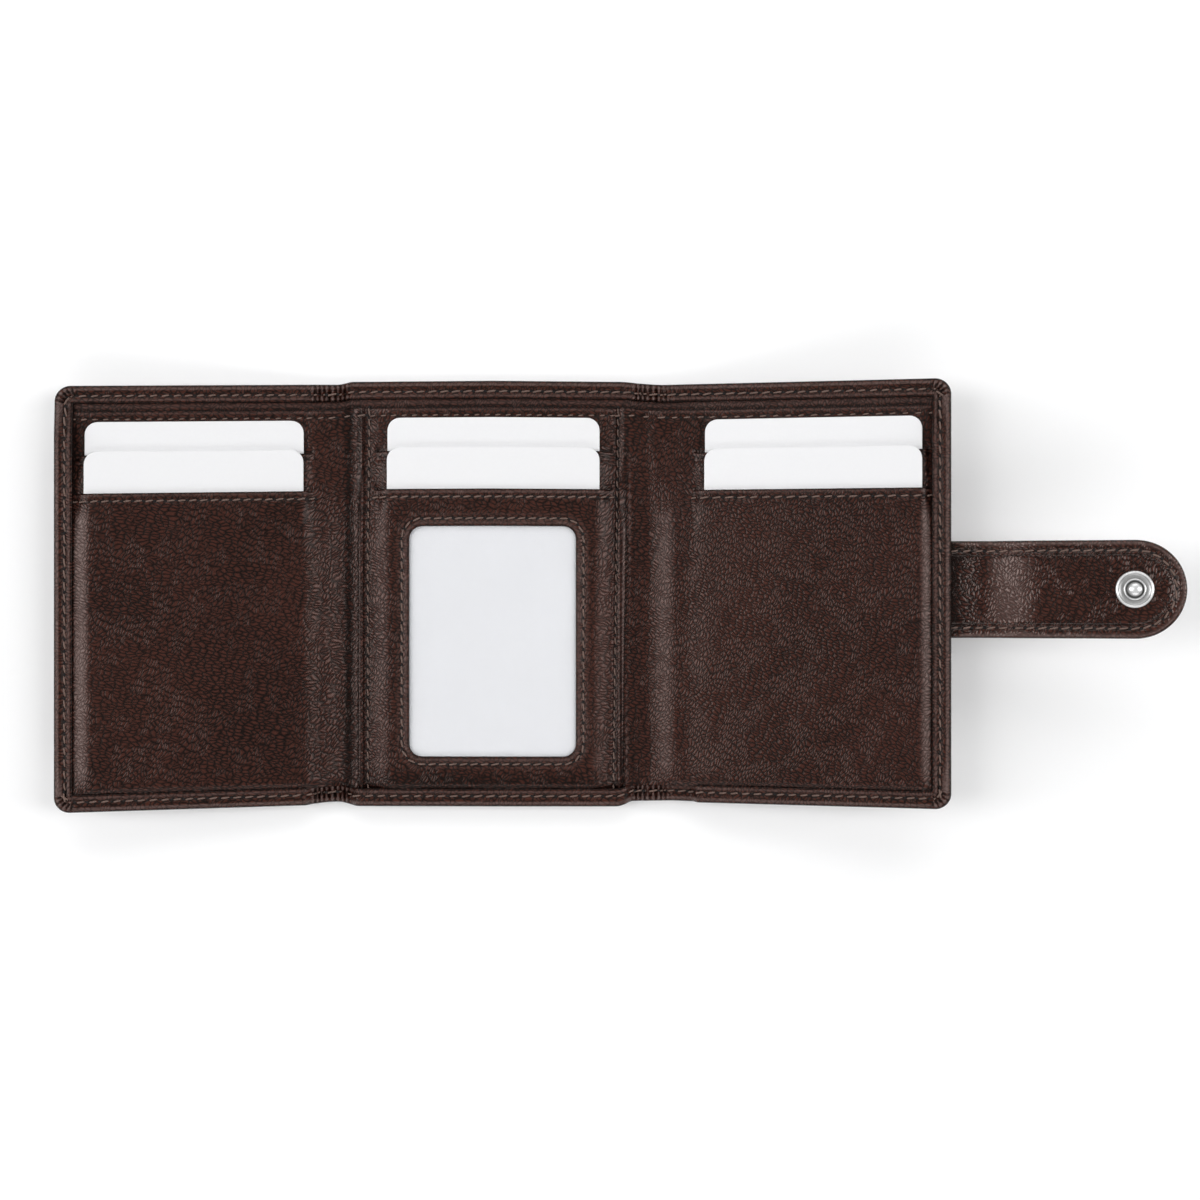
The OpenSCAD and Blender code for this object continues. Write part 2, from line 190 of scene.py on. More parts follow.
@dataclass(frozen=True)
class Fold:
    """A fold line of the cut, between two bodies of the frame.

    Attributes:
        at: its place across the cut.
        lift: how far it is folded as the wallet lies open, in degrees.
        inner_body: the body on the middle panel's side.
        outer_body: the body on the other side.
        half: half the width over which the leather bends.
    """

    at: float
    lift: float
    inner_body: str
    outer_body: str
    half: float = 2.3


class Cut:
    """The wallet's cut with its fold lines, read from the joints of the frame.

    Attributes:
        HINGE_H: height of the fold lines over the outer face.
        HALF_HEIGHT: half the height of the straight cut.
        STRAP_HALF: half the width of each bend of the strap.
        TOP_EDGE, BOTTOM_EDGE: points of the real wallet's edges, as s and y.
    """

    HINGE_H = 1.0
    HALF_HEIGHT = 53.7
    STEP = 0.05
    STRAP_HALF = 2.6
    TOP_EDGE = ((-109.2, 51.9), (-46.0, 53.2), (-38.2, 53.25), (-36.4, 54.0), (0.0, 54.3), (34.0, 54.0),
                (37.0, 53.6), (43.0, 53.1), (50.9, 53.2), (115.7, 53.0))
    BOTTOM_EDGE = ((-109.2, -54.9), (-46.0, -53.8), (-42.0, -53.3), (-37.8, -53.2), (-36.0, -54.1), (0.0, -54.2),
                   (33.0, -54.2), (34.8, -53.1), (46.5, -52.8), (51.0, -52.95), (115.7, -53.1))

    def __init__(self) -> None:
        """Reads the fold lines and works out the line that the cut follows when it lies open."""
        joints = {j["name"]: j for j in frame["joints"]}
        place = {n: np.array(j["pos_m"]) / MM for n, j in joints.items() if "pos_m" in j}
        self.folds: dict[str, Fold] = {}
        for side, sign in (("left", -1.0), ("right", 1.0)):
            inner, outer = place[f"{side}_inner_fold"], place[f"{side}_outer_fold"]
            run, rise = abs(outer[0] - inner[0]), outer[2] - inner[2]
            lift = math.degrees(math.atan2(rise, run))
            at = abs(inner[0])
            self.folds[f"{side}_inner"] = Fold(sign * at, sign * lift, "middle", f"{side}_spine")
            self.folds[f"{side}_outer"] = Fold(sign * (at + math.hypot(run, rise)), sign * lift,
                                               f"{side}_spine", f"{side}_flap")
        root = place["right_outer_fold"]
        far = self.folds["right_outer"].at
        lean = math.radians(self.folds["right_outer"].lift * 2.0)
        strap_folds = (("strap_base", "right_flap", "strap_bend"), ("strap_end", "strap_bend", "strap_end"))
        for name, inner, outer in strap_folds:
            gap = place[f"{name}_fold"] - root
            along = gap[0] * math.cos(lean) + gap[2] * math.sin(lean)
            self.folds[name] = Fold(far + along, 0.0, inner, outer, self.STRAP_HALF)
        self.s = np.arange(-125.0, 185.0, self.STEP)
        angle = np.zeros_like(self.s)
        for fold in self.folds.values():
            way = math.copysign(1.0, fold.at)
            angle += math.radians(fold.lift) * smooth((way * (self.s - fold.at) + fold.half) / (2.0 * fold.half))
        self.angle = angle
        step = np.diff(self.s, prepend=self.s[0] - self.STEP)
        self.x = np.cumsum(np.cos(angle) * step)
        self.z = np.cumsum(np.sin(angle) * step)
        self.x -= np.interp(0.0, self.s, self.x)
        self.z -= np.interp(0.0, self.s, self.z)

    def edge(self, s: Array, points: Sequence[tuple[float, float]]) -> Array:
        """Gives the course of an edge, through points that are eased into one another.

        Args:
            s: place across the cut.
            points: s and y of the edge's points.

        Returns:
            The edge's y at s.
        """
        xs, ys = zip(*points)
        blur = [np.interp(s + shift, xs, ys) for shift in (-1.2, -0.6, 0.0, 0.6, 1.2)]
        return sum(blur) / len(blur)

    def warp(self, s: Array, y: Array) -> Array:
        """Moves points of the straight cut onto the real wallet, whose edges aren't quite straight.

        Args:
            s: place across the cut.
            y: place up the straight cut.

        Returns:
            The place up the real wallet.
        """
        top, low = self.edge(s, self.TOP_EDGE), self.edge(s, self.BOTTOM_EDGE)
        share = (y + self.HALF_HEIGHT) / (2.0 * self.HALF_HEIGHT)
        return low + (top - low) * share

    def place(self, s: Array, y: Array, h: Array, warped: bool = True) -> Array:
        """Bends points of the cut into the open wallet.

        Args:
            s, y: place on the cut.
            h: height over the outer face.
            warped: whether y follows the wallet's uneven edges.

        Returns:
            The points in metres, in the frame.
        """
        s, y, h = np.broadcast_arrays(*(np.asarray(v, float) for v in (s, y, h)))
        a = np.interp(s, self.s, self.angle)
        up = h - self.HINGE_H
        height = self.warp(s, y) if warped else y
        x = np.interp(s, self.s, self.x) - up * np.sin(a)
        z = self.HINGE_H + np.interp(s, self.s, self.z) + up * np.cos(a)
        return np.stack([x, height, z], -1) * MM

    def normal(self, s: Array) -> Array:
        """Returns the direction out of the inner face at s."""
        a = np.interp(np.asarray(s, float), self.s, self.angle)
        return np.stack([-np.sin(a), np.zeros_like(a), np.cos(a)], -1)


# Meshes


class Skin:
    """A mesh that is put together from grids of points, whose shared edges are sewn together."""

    def __init__(self, name: str) -> None:
        """Starts an empty mesh.

        Args:
            name: what it is called.
        """
        self.name = name
        self.points: list[Array] = []
        self.shades: list[Array] = []
        self.faces: list[Array] = []
        self.count = 0

    def grid(self, points: Array, flip: bool = False, hole: Optional[Array] = None, closed: bool = False,
             shade: Union[float, Array] = 0.0) -> None:
        """Adds a grid of quads.

        Args:
            points: rows by columns by 3, in metres.
            flip: turns the faces over.
            hole: rows-1 by columns-1, true where a quad is left out.
            closed: joins the last column to the first.
            shade: one for all or rows by columns, from -1 for painted shade to 1 for painted highlight.
        """
        rows, cols = points.shape[:2]
        index = np.arange(rows * cols).reshape(rows, cols) + self.count
        if closed:
            index = np.concatenate([index, index[:, :1]], 1)
        quads = np.stack([index[:-1, :-1], index[:-1, 1:], index[1:, 1:], index[1:, :-1]], -1)
        if hole is not None:
            quads = quads[~hole]
        quads = quads.reshape(-1, 4)
        self.faces.append(quads[:, ::-1] if flip else quads)
        self.points.append(points.reshape(-1, 3))
        self.shades.append(np.broadcast_to(np.asarray(shade, float), (rows, cols)).reshape(-1))
        self.count += rows * cols

    def build(self, material: bpy.types.Material, thickness: float = 0.0, merge: float = 2e-6) -> Piece:
        """Makes the object.

        Args:
            material: its finish.
            thickness: in mm, how thick a sheet becomes under the faces, or 0 for none.
            merge: in metres, points closer than this become one.

        Returns:
            The object, at the origin, shaded smooth.
        """
        mesh = bpy.data.meshes.new(self.name)
        mesh.from_pydata(np.concatenate(self.points).tolist(), [], np.concatenate(self.faces).tolist())
        mesh.attributes.new("shade", "FLOAT", "POINT").data.foreach_set("value", np.concatenate(self.shades))
        obj = add_to_scene(self.name, mesh)
        weld = obj.modifiers.new("weld", "WELD")
        weld.merge_threshold = merge
        if thickness:
            wall = obj.modifiers.new("wall", "SOLIDIFY")
            wall.thickness = thickness * MM
            wall.offset = -1.0
        plain(obj)
        obj.data.materials.clear()
        obj.data.materials.append(material)
        obj.data.polygons.foreach_set("use_smooth", [True] * len(obj.data.polygons))
        obj.data.set_sharp_from_angle(angle=math.radians(55.0))
        obj.data.update()
        return obj


def add_to_scene(name: str, data: bpy.types.ID) -> Piece:
    """Makes an object at the origin and adds it to the scene.

    Args:
        name: its name.
        data: its mesh, light or camera.

    Returns:
        The object.
    """
    obj = bpy.data.objects.new(name, data)
    bpy.context.scene.collection.objects.link(obj)
    return obj


def plain(obj: Piece) -> Piece:
    """Turns an object with modifiers into a plain mesh with none.

    Args:
        obj: the object.

    Returns:
        The same object.
    """
    bpy.context.view_layer.update()
    evaluated = obj.evaluated_get(bpy.context.evaluated_depsgraph_get())
    mesh = bpy.data.meshes.new_from_object(evaluated)
    old = obj.data
    obj.modifiers.clear()
    obj.data = mesh
    mesh.name = obj.name
    if old.users == 0:
        bpy.data.meshes.remove(old)
    return obj


def turned(name: str, profile: Sequence[tuple[float, ...]], steps: int = 64) -> Skin:
    """Starts a turned piece about its own axis, on the origin.

    Args:
        name: name of the piece.
        profile: from the axis outwards and round, the radius, height and painted tone of each point, -1 for painted
            shade and 1 for painted highlight.
        steps: how many points go round.

    Returns:
        The mesh, not yet built.
    """
    skin = Skin(name)
    angle = np.linspace(0.0, 2.0 * math.pi, steps, endpoint=False)
    radius = np.array([p[0] for p in profile])[:, None]
    height = np.array([p[1] for p in profile])[:, None]
    ring = np.stack([radius * np.cos(angle), radius * np.sin(angle), height + 0.0 * angle], -1) * MM
    tone = np.array([p[2] if len(p) > 2 else 0.0 for p in profile])[:, None] + 0.0 * angle
    skin.grid(ring, closed=True, shade=tone)
    return skin


# Finishes


class Nodes:
    """Short calls that add nodes to one material or node group."""

    def __init__(self, tree: bpy.types.NodeTree) -> None:
        """Works on tree."""
        self.tree = tree

    def add(self, kind: str, **values: object) -> bpy.types.Node:
        """Adds a node and sets its attributes.

        Args:
            kind: the node's type.
            values: attributes of the node.

        Returns:
            The node.
        """
        node = self.tree.nodes.new(kind)
        for key, value in values.items():
            setattr(node, key, value)
        return node

    def put(self, socket: Socket, value: object) -> None:
        """Links or sets a socket.

        Args:
            socket: the socket.
            value: another socket, which is linked, or a plain value, which is set.
        """
        if isinstance(value, Socket):
            self.tree.links.new(value, socket)
        else:
            socket.default_value = value

    def math(self, operation: str, *values: object) -> Socket:
        """Adds a Math node.

        Args:
            operation: what it does.
            values: up to three numbers or sockets.

        Returns:
            Its result.
        """
        node = self.add("ShaderNodeMath", operation=operation)
        for socket, value in zip(node.inputs, values):
            self.put(socket, value)
        return node.outputs[0]

    def noise(self, vector: Socket, scale: float, detail: float = 2.0) -> Socket:
        """Adds a noise.

        Args:
            vector: where it is read.
            scale: its scale per unit of vector.
            detail: how many finer layers it has.

        Returns:
            Its value, about 0.5.
        """
        node = self.add("ShaderNodeTexNoise", noise_dimensions="3D")
        self.put(node.inputs["Vector"], vector)
        node.inputs["Scale"].default_value = scale
        node.inputs["Detail"].default_value = detail
        return node.outputs["Fac"]

    def ramp(self, value: Socket, low: float, high: float, out_low: float, out_high: float) -> Socket:
        """Moves a value from one range into another, and holds it there.

        Args:
            value: the value.
            low, high: the old range.
            out_low, out_high: the new range.

        Returns:
            The moved value.
        """
        node = self.add("ShaderNodeMapRange", clamp=True)
        for socket, number in zip(node.inputs, (value, low, high, out_low, out_high)):
            self.put(socket, number)
        return node.outputs[0]

    def colours(self, low: object, high: object, share: Socket) -> Socket:
        """Mixes two colours.

        Args:
            low: the colour where share is 0, as a socket or its four numbers.
            high: the colour where share is 1.
            share: the share of the second.

        Returns:
            The mixed colour.
        """
        node = self.add("ShaderNodeMix", data_type="RGBA")
        for name, value in (("A", low), ("B", high), ("Factor", share)):
            self.put(node.inputs[name], value)
        return node.outputs["Result"]

    def bump(self, height: Socket, relief: float) -> Socket:
        """Turns a height into small relief.

        Args:
            height: the height, from about 0 to 1.
            relief: what a height of 1 is in millimetres.

        Returns:
            The normal for a shader.
        """
        node = self.add("ShaderNodeBump")
        node.inputs["Strength"].default_value = 1.0
        node.inputs["Distance"].default_value = relief * MM
        self.put(node.inputs["Height"], height)
        return node.outputs[0]

    def shade(self) -> Socket:
        """Returns the mesh's painted shade and highlight, from about -1 to 1."""
        return self.add("ShaderNodeAttribute", attribute_name="shade").outputs["Fac"]

    def in_mm(self) -> tuple[Socket, list[Socket]]:
        """Gives the object coordinates in millimetres.

        Returns:
            Them as a vector, and as its three parts.
        """
        where = self.add("ShaderNodeTexCoord")
        scale = self.add("ShaderNodeMapping")
        scale.inputs["Scale"].default_value = (1.0 / MM, 1.0 / MM, 1.0 / MM)
        self.put(scale.inputs["Vector"], where.outputs["Object"])
        parts = self.add("ShaderNodeSeparateXYZ")
        self.put(parts.inputs[0], scale.outputs[0])
        return scale.outputs[0], list(parts.outputs)


def new_material(name: str) -> tuple[bpy.types.Material, Nodes, bpy.types.Node]:
    """Makes a material with an empty Principled shader.

    Args:
        name: its name.

    Returns:
        The material, the calls that add nodes to it, and its shader.
    """
    material = bpy.data.materials.new(name)
    material.use_nodes = True
    nodes = Nodes(material.node_tree)
    return material, nodes, material.node_tree.nodes["Principled BSDF"]


@dataclass(frozen=True)
class Leather:
    """Dark brown leather with a fine grain of small long pebbles, whose direction turns from patch to patch, and the
    mesh's painted shade and painted highlights in its colour.
    """

    name: str
    roughness: float
    gloss: float = 0.28
    dark: Colour = (0.0030, 0.0009, 0.0005)
    light: Colour = (0.060, 0.0215, 0.0155)
    # colour of the painted highlights
    painted_highlight: Colour = (0.150, 0.112, 0.104)
    relief: float = 0.058
    pitch: float = 0.84
    stretch: float = 2.1

    def pebbles(self, n: Nodes, across: Socket, along: Socket) -> Socket:
        """Adds small long pebbles that lie along one direction.

        Args:
            n: the material's nodes.
            across: place across the pebbles, in millimetres.
            along: place along the pebbles.

        Returns:
            Their height, 1 on their tops and 0 in their grooves.
        """
        place = n.add("ShaderNodeCombineXYZ")
        n.put(place.inputs[0], n.math("MULTIPLY", across, 1.0 / self.pitch))
        n.put(place.inputs[1], n.math("MULTIPLY", along, 1.0 / (self.pitch * self.stretch)))
        cells = n.add("ShaderNodeTexVoronoi", feature="DISTANCE_TO_EDGE", voronoi_dimensions="2D")
        cells.inputs["Scale"].default_value = 1.0
        cells.inputs["Randomness"].default_value = 0.85
        n.put(cells.inputs["Vector"], place.outputs[0])
        return n.ramp(cells.outputs["Distance"], 0.0, 0.36, 0.0, 1.0)

    def grain(self, n: Nodes, mm: Socket, parts: Sequence[Socket]) -> Socket:
        """Adds the grain, which lies one way in some patches and leans the other way in the rest.

        Args:
            n: the material's nodes.
            mm: the object coordinates in millimetres.
            parts: their three parts.

        Returns:
            The grain's height, from 0 to 1.
        """
        flat_x, flat_y, z = parts
        x = n.math("ADD", n.math("MULTIPLY_ADD", n.noise(mm, 0.26, 1.0), 2.2, flat_x), n.math("MULTIPLY", z, 0.6))
        y = n.math("ADD", n.math("MULTIPLY_ADD", n.noise(mm, 0.22, 1.0), 2.2, flat_y), n.math("MULTIPLY", z, 0.5))
        lying = self.pebbles(n, n.math("MULTIPLY_ADD", x, 0.35, y), n.math("MULTIPLY_ADD", y, -0.35, x))
        leaning = self.pebbles(n, n.math("MULTIPLY_ADD", y, -0.55, x), n.math("MULTIPLY_ADD", x, 0.55, y))
        patch = n.ramp(n.noise(mm, 0.16, 1.0), 0.46, 0.54, 0.0, 1.0)
        other = n.math("SUBTRACT", 1.0, patch)
        return n.math("ADD", n.math("MULTIPLY", lying, patch), n.math("MULTIPLY", leaning, other))

    def make(self) -> bpy.types.Material:
        """Builds the material.

        Returns:
            The material.
        """
        material, n, shader = new_material(self.name)
        mm, parts = n.in_mm()
        grain = self.grain(n, mm, parts)
        height = n.math("MULTIPLY_ADD", n.noise(mm, 3.2, 2.0), 0.12, grain)
        height = n.math("MULTIPLY_ADD", n.noise(mm, 0.12, 2.0), 1.6, height)
        shade = n.shade()
        # Painted shade: the mesh's shade darkens the tone, along with the grain and a slow random unevenness.
        depth = n.math("MULTIPLY_ADD", n.noise(mm, 0.05, 3.0), 0.5, n.math("MULTIPLY_ADD", grain, 1.25, -0.62))
        depth = n.ramp(n.math("MULTIPLY_ADD", shade, 0.45, depth), -0.2, 0.8, 0.0, 1.0)
        # Painted highlight: where the mesh's shade is high, the colour moves on to a pale grey-brown.
        highlight_share = n.math("MULTIPLY", n.ramp(shade, 0.1, 1.3, 0.0, 0.9), n.math("MULTIPLY_ADD", grain, 0.7, 0.35))
        tone = n.colours((*self.dark, 1.0), (*self.light, 1.0), depth)
        n.put(shader.inputs["Base Color"], n.colours(tone, (*self.painted_highlight, 1.0), highlight_share))
        n.put(shader.inputs["Roughness"], n.ramp(grain, 0.0, 1.0, self.roughness + 0.10, self.roughness - 0.08))
        n.put(shader.inputs["Normal"], n.bump(height, self.relief))
        shader.inputs["Specular IOR Level"].default_value = self.gloss
        shader.inputs["Specular Tint"].default_value = (1.0, 0.82, 0.76, 1.0)
        return material


@dataclass(frozen=True)
class Plain:
    """A finish of one colour, with a fine unevenness of its own scale and the mesh's painted shade and highlight."""

    name: str
    colour: Colour
    roughness: float
    relief: float = 0.004
    scale: float = 2.0
    metallic: float = 0.0
    spread: float = 0.06
    alpha: float = 1.0
    mottle: float = 1.0

    def make(self) -> bpy.types.Material:
        """Builds the material.

        Returns:
            The material.
        """
        material, n, shader = new_material(self.name)
        mm, _ = n.in_mm()
        uneven = n.noise(mm, self.scale, 3.0)
        mottled = n.ramp(uneven, 0.3, 0.7, 0.5 - 0.5 * self.mottle, 0.5 + 0.5 * self.mottle)
        # Painted shade and highlight from the mesh, which only the snap has, move the colour across its spread.
        share = n.ramp(n.math("MULTIPLY_ADD", n.shade(), 0.5, mottled), 0.0, 1.0, 0.0, 1.0)
        low = (*(c * (1.0 - self.spread) for c in self.colour), 1.0)
        high = (*(min(1.0, c * (1.0 + self.spread)) for c in self.colour), 1.0)
        n.put(shader.inputs["Base Color"], n.colours(low, high, share))
        n.put(shader.inputs["Roughness"], n.ramp(uneven, 0.3, 0.7, self.roughness * 0.85, self.roughness * 1.15))
        n.put(shader.inputs["Normal"], n.bump(uneven, self.relief))
        shader.inputs["Metallic"].default_value = self.metallic
        shader.inputs["Alpha"].default_value = self.alpha
        return material


@dataclass(frozen=True)
class Thread:
    """Brown sewing thread with its two plies twisted round each other."""

    name: str = "brown_thread"
    colour: Colour = (0.165, 0.100, 0.078)
    twist: float = 14.0
    relief: float = 0.03

    def make(self) -> bpy.types.Material:
        """Builds the material.

        Returns:
            The material.
        """
        material, n, shader = new_material(self.name)
        mm, (x, y, _) = n.in_mm()
        plies = n.math("SINE", n.math("MULTIPLY", n.math("ADD", x, y), self.twist))
        low = (*(c * 0.7 for c in self.colour), 1.0)
        high = (*(c * 1.25 for c in self.colour), 1.0)
        n.put(shader.inputs["Base Color"], n.colours(low, high, n.noise(mm, 0.5, 1.0)))
        n.put(shader.inputs["Normal"], n.bump(plies, self.relief))
        shader.inputs["Roughness"].default_value = 0.55
        shader.inputs["Sheen Weight"].default_value = 0.15
        return material


class Finishes:
    """All the materials of the wallet, made once."""

    def __init__(self) -> None:
        """Makes the materials."""
        self.shell = Leather("shell_leather", 0.32, 0.22, light=(0.060, 0.0205, 0.0142)).make()
        self.inner = Leather("inner_leather", 0.30).make()
        self.strap = Leather("strap_leather", 0.20, 0.46).make()
        self.lining = Leather("note_lining", 0.38).make()
        self.card = Plain("blank_card", (0.85, 0.85, 0.862), 0.42, relief=0.002, scale=1.5, spread=0.006).make()
        self.vinyl = Plain("clear_vinyl", (0.92, 0.93, 0.96), 0.16, relief=0.01, scale=0.08, spread=0.01,
                           alpha=0.25).make()
        self.nickel = Plain("satin_nickel", (0.60, 0.59, 0.58), 0.34, relief=0.003, scale=6.0, metallic=0.62,
                            spread=0.75, mottle=0.12).make()
        # Needle holes: a near-black bead stands for the shade inside each hole.
        self.hole = Plain("needle_hole_shade", (0.004, 0.003, 0.003), 0.9).make()
        self.thread = Thread().make()


# Stitching, by Geometry Nodes


@dataclass(frozen=True)
class Row:
    """One row of stitching: a route on the cut, and the side it is seen from."""

    s: Array
    y: Array
    h: Array
    back: bool = False
    warped: bool = True


@dataclass
class Stitching:
    """Rows of slanted stitches, with a dark bead between one stitch and the next as painted shade in the needle hole.
    """

    cut: Cut
    finishes: Finishes
    length: float = 2.1
    pitch: float = 2.63
    thick: float = 0.44
    slant: float = 9.0
    jitter: float = 0.05
    seed: int = 7
    tree: bpy.types.NodeTree = field(init=False)

    def __post_init__(self) -> None:
        """Builds the node tree once, for every row."""
        self.tree = self.build_tree()

    def build_tree(self) -> bpy.types.NodeTree:
        """Builds the node tree that sets stitches along a line.

        Returns:
            The tree.
        """
        tree = bpy.data.node_groups.new("stitch_row", "GeometryNodeTree")
        face = tree.interface
        face.new_socket("Geometry", in_out="INPUT", socket_type="NodeSocketGeometry")
        for name, value in (("Pitch", self.pitch * MM), ("Length", self.length * MM), ("Thickness", self.thick * MM),
                            ("Slant", math.radians(self.slant))):
            socket = face.new_socket(name, in_out="INPUT", socket_type="NodeSocketFloat")
            socket.default_value = value
        face.new_socket("Seed", in_out="INPUT", socket_type="NodeSocketInt").default_value = self.seed
        face.new_socket("Geometry", in_out="OUTPUT", socket_type="NodeSocketGeometry")
        n = Nodes(tree)
        ends, out = n.add("NodeGroupInput"), n.add("NodeGroupOutput")
        curve = n.add("GeometryNodeMeshToCurve")
        n.put(curve.inputs["Mesh"], ends.outputs["Geometry"])
        spaced = n.add("GeometryNodeResampleCurve", mode="LENGTH")
        n.put(spaced.inputs["Curve"], curve.outputs[0])
        n.put(spaced.inputs["Length"], ends.outputs["Pitch"])
        up = n.add("GeometryNodeInputNamedAttribute", data_type="FLOAT_VECTOR")
        up.inputs["Name"].default_value = "up"
        tangent = n.add("GeometryNodeInputTangent")
        turn = n.add("FunctionNodeAxesToRotation", primary_axis="Z", secondary_axis="X")
        n.put(turn.inputs["Primary Axis"], up.outputs[0])
        n.put(turn.inputs["Secondary Axis"], tangent.outputs[0])
        jitter = n.add("FunctionNodeRandomValue", data_type="FLOAT")
        jitter.inputs[2].default_value, jitter.inputs[3].default_value = -self.jitter, self.jitter
        n.put(jitter.inputs["Seed"], ends.outputs["Seed"])
        lean = n.math("ADD", ends.outputs["Slant"], jitter.outputs[1])
        spin = n.add("FunctionNodeAxisAngleToRotation")
        spin.inputs["Axis"].default_value = (0.0, 0.0, 1.0)
        n.put(spin.inputs["Angle"], lean)
        both = n.add("FunctionNodeRotateRotation", rotation_space="LOCAL")
        n.put(both.inputs[0], turn.outputs[0])
        n.put(both.inputs[1], spin.outputs[0])
        joined = n.add("GeometryNodeJoinGeometry")
        for shape, material, rotation in ((self.hole_shade_bead(n, ends), self.finishes.hole, turn.outputs[0]),
                                          (self.thread_shape(n, ends), self.finishes.thread, both.outputs[0])):
            placed = n.add("GeometryNodeInstanceOnPoints")
            n.put(placed.inputs["Points"], spaced.outputs[0])
            n.put(placed.inputs["Instance"], shape)
            n.put(placed.inputs["Rotation"], rotation)
            real = n.add("GeometryNodeRealizeInstances")
            n.put(real.inputs[0], placed.outputs[0])
            painted = n.add("GeometryNodeSetMaterial")
            painted.inputs["Material"].default_value = material
            n.put(painted.inputs["Geometry"], real.outputs[0])
            n.put(joined.inputs[0], painted.outputs[0])
        n.put(out.inputs[0], joined.outputs[0])
        return tree

    def thread_shape(self, n: Nodes, ends: bpy.types.Node) -> Socket:
        """Makes one stitch: a short arched thread whose ends go down into the leather.

        Args:
            n: the tree's nodes.
            ends: the tree's inputs.

        Returns:
            The stitch.
        """
        half = n.math("MULTIPLY", ends.outputs["Length"], 0.5)
        sunk = n.math("MULTIPLY", ends.outputs["Thickness"], -0.7)
        rise = n.math("MULTIPLY", ends.outputs["Thickness"], 0.9)
        arch = n.add("GeometryNodeCurveQuadraticBezier")
        arch.inputs["Resolution"].default_value = 6
        back = n.math("MULTIPLY", half, -1.0)
        for socket, x, z in (("Start", back, sunk), ("Middle", 0.0, rise), ("End", half, sunk)):
            corner = n.add("ShaderNodeCombineXYZ")
            n.put(corner.inputs[0], x)
            n.put(corner.inputs[2], z)
            n.put(arch.inputs[socket], corner.outputs[0])
        ring = n.add("GeometryNodeCurvePrimitiveCircle")
        ring.inputs["Resolution"].default_value = 6
        n.put(ring.inputs["Radius"], n.math("MULTIPLY", ends.outputs["Thickness"], 0.5))
        tube = n.add("GeometryNodeCurveToMesh")
        n.put(tube.inputs["Curve"], arch.outputs[0])
        n.put(tube.inputs["Profile Curve"], ring.outputs[0])
        tube.inputs["Fill Caps"].default_value = True
        soft = n.add("GeometryNodeSetShadeSmooth")
        n.put(soft.inputs[0], tube.outputs[0])
        return soft.outputs[0]

    def hole_shade_bead(self, n: Nodes, ends: bpy.types.Node) -> Socket:
        """Makes one needle hole: a flat dark bead, half a pitch along from its stitch, as painted shade in the hole.

        Args:
            n: the tree's nodes.
            ends: the tree's inputs.

        Returns:
            The bead.
        """
        bead = n.add("GeometryNodeMeshUVSphere")
        bead.inputs["Segments"].default_value = 8
        bead.inputs["Rings"].default_value = 4
        n.put(bead.inputs["Radius"], n.math("MULTIPLY", ends.outputs["Thickness"], 0.95))
        moved = n.add("GeometryNodeTransform")
        n.put(moved.inputs["Geometry"], bead.outputs[0])
        shift = n.add("ShaderNodeCombineXYZ")
        n.put(shift.inputs[0], n.math("MULTIPLY", ends.outputs["Pitch"], 0.5))
        n.put(shift.inputs[2], n.math("MULTIPLY", ends.outputs["Thickness"], -0.1))
        n.put(moved.inputs["Translation"], shift.outputs[0])
        moved.inputs["Scale"].default_value = (1.05, 0.75, 0.4)
        return moved.outputs[0]

    def sew(self, name: str, rows: Sequence[Row], pitch: float = 0.0) -> Piece:
        """Sews rows of stitches.

        Args:
            name: name of the piece.
            rows: the rows.
            pitch: from stitch to stitch, or 0 for the usual pitch.

        Returns:
            All the stitches as one plain mesh.
        """
        points, edges, ups, count = [], [], [], 0
        for row in rows:
            points.append(self.cut.place(row.s, row.y, row.h, row.warped))
            way = -1.0 if row.back else 1.0
            ups.append(self.cut.normal(row.s) * way)
            edges.extend((count + i, count + i + 1) for i in range(len(row.s) - 1))
            count += len(row.s)
        mesh = bpy.data.meshes.new(name)
        mesh.from_pydata(np.concatenate(points).tolist(), edges, [])
        mesh.attributes.new("up", "FLOAT_VECTOR", "POINT").data.foreach_set("vector", np.concatenate(ups).ravel())
        obj = add_to_scene(name, mesh)
        sewing = obj.modifiers.new("stitch_row", "NODES")
        sewing.node_group = self.tree
        sizes = {"Pitch": (pitch or self.pitch) * MM, "Length": self.length * MM, "Thickness": self.thick * MM}
        for item in self.tree.interface.items_tree:
            if item.in_out == "INPUT" and item.name in sizes:
                sewing[item.identifier] = sizes[item.name]
        return plain(obj)


# Sections of the hide, each across one fold line


@dataclass(frozen=True)
class Section:
    """A stretch of the cut that bends at one fold line.

    Attributes:
        rim: -1 where its left end is the leather's own edge, 1 where its right end is, and 0 where neither is.
    """

    name: str
    start: float
    end: float
    fold: Fold
    rim: int = 0

    def from_rim(self, s: Array) -> Array:
        """Gives the distance from the leather's own edge at the side.

        Args:
            s: place across the cut.

        Returns:
            The distance, or FAR where the section has no such edge.
        """
        if self.rim == 0:
            return np.full_like(s, FAR)
        return s - self.start if self.rim < 0 else self.end - s

    def at_rim(self, gaps: Sequence[float]) -> list[float]:
        """Gives the places at some distances from the leather's own edge at the side.

        Args:
            gaps: the distances.

        Returns:
            The places, or none where the section has no such edge.
        """
        if self.rim == 0:
            return []
        return [self.start + g if self.rim < 0 else self.end - g for g in gaps]

    def bend(self, piece: Piece, cut: Cut) -> None:
        """Bakes a piece's placement into its mesh.

        Args:
            piece: the piece.
            cut: not used.
        """
        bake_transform(piece)


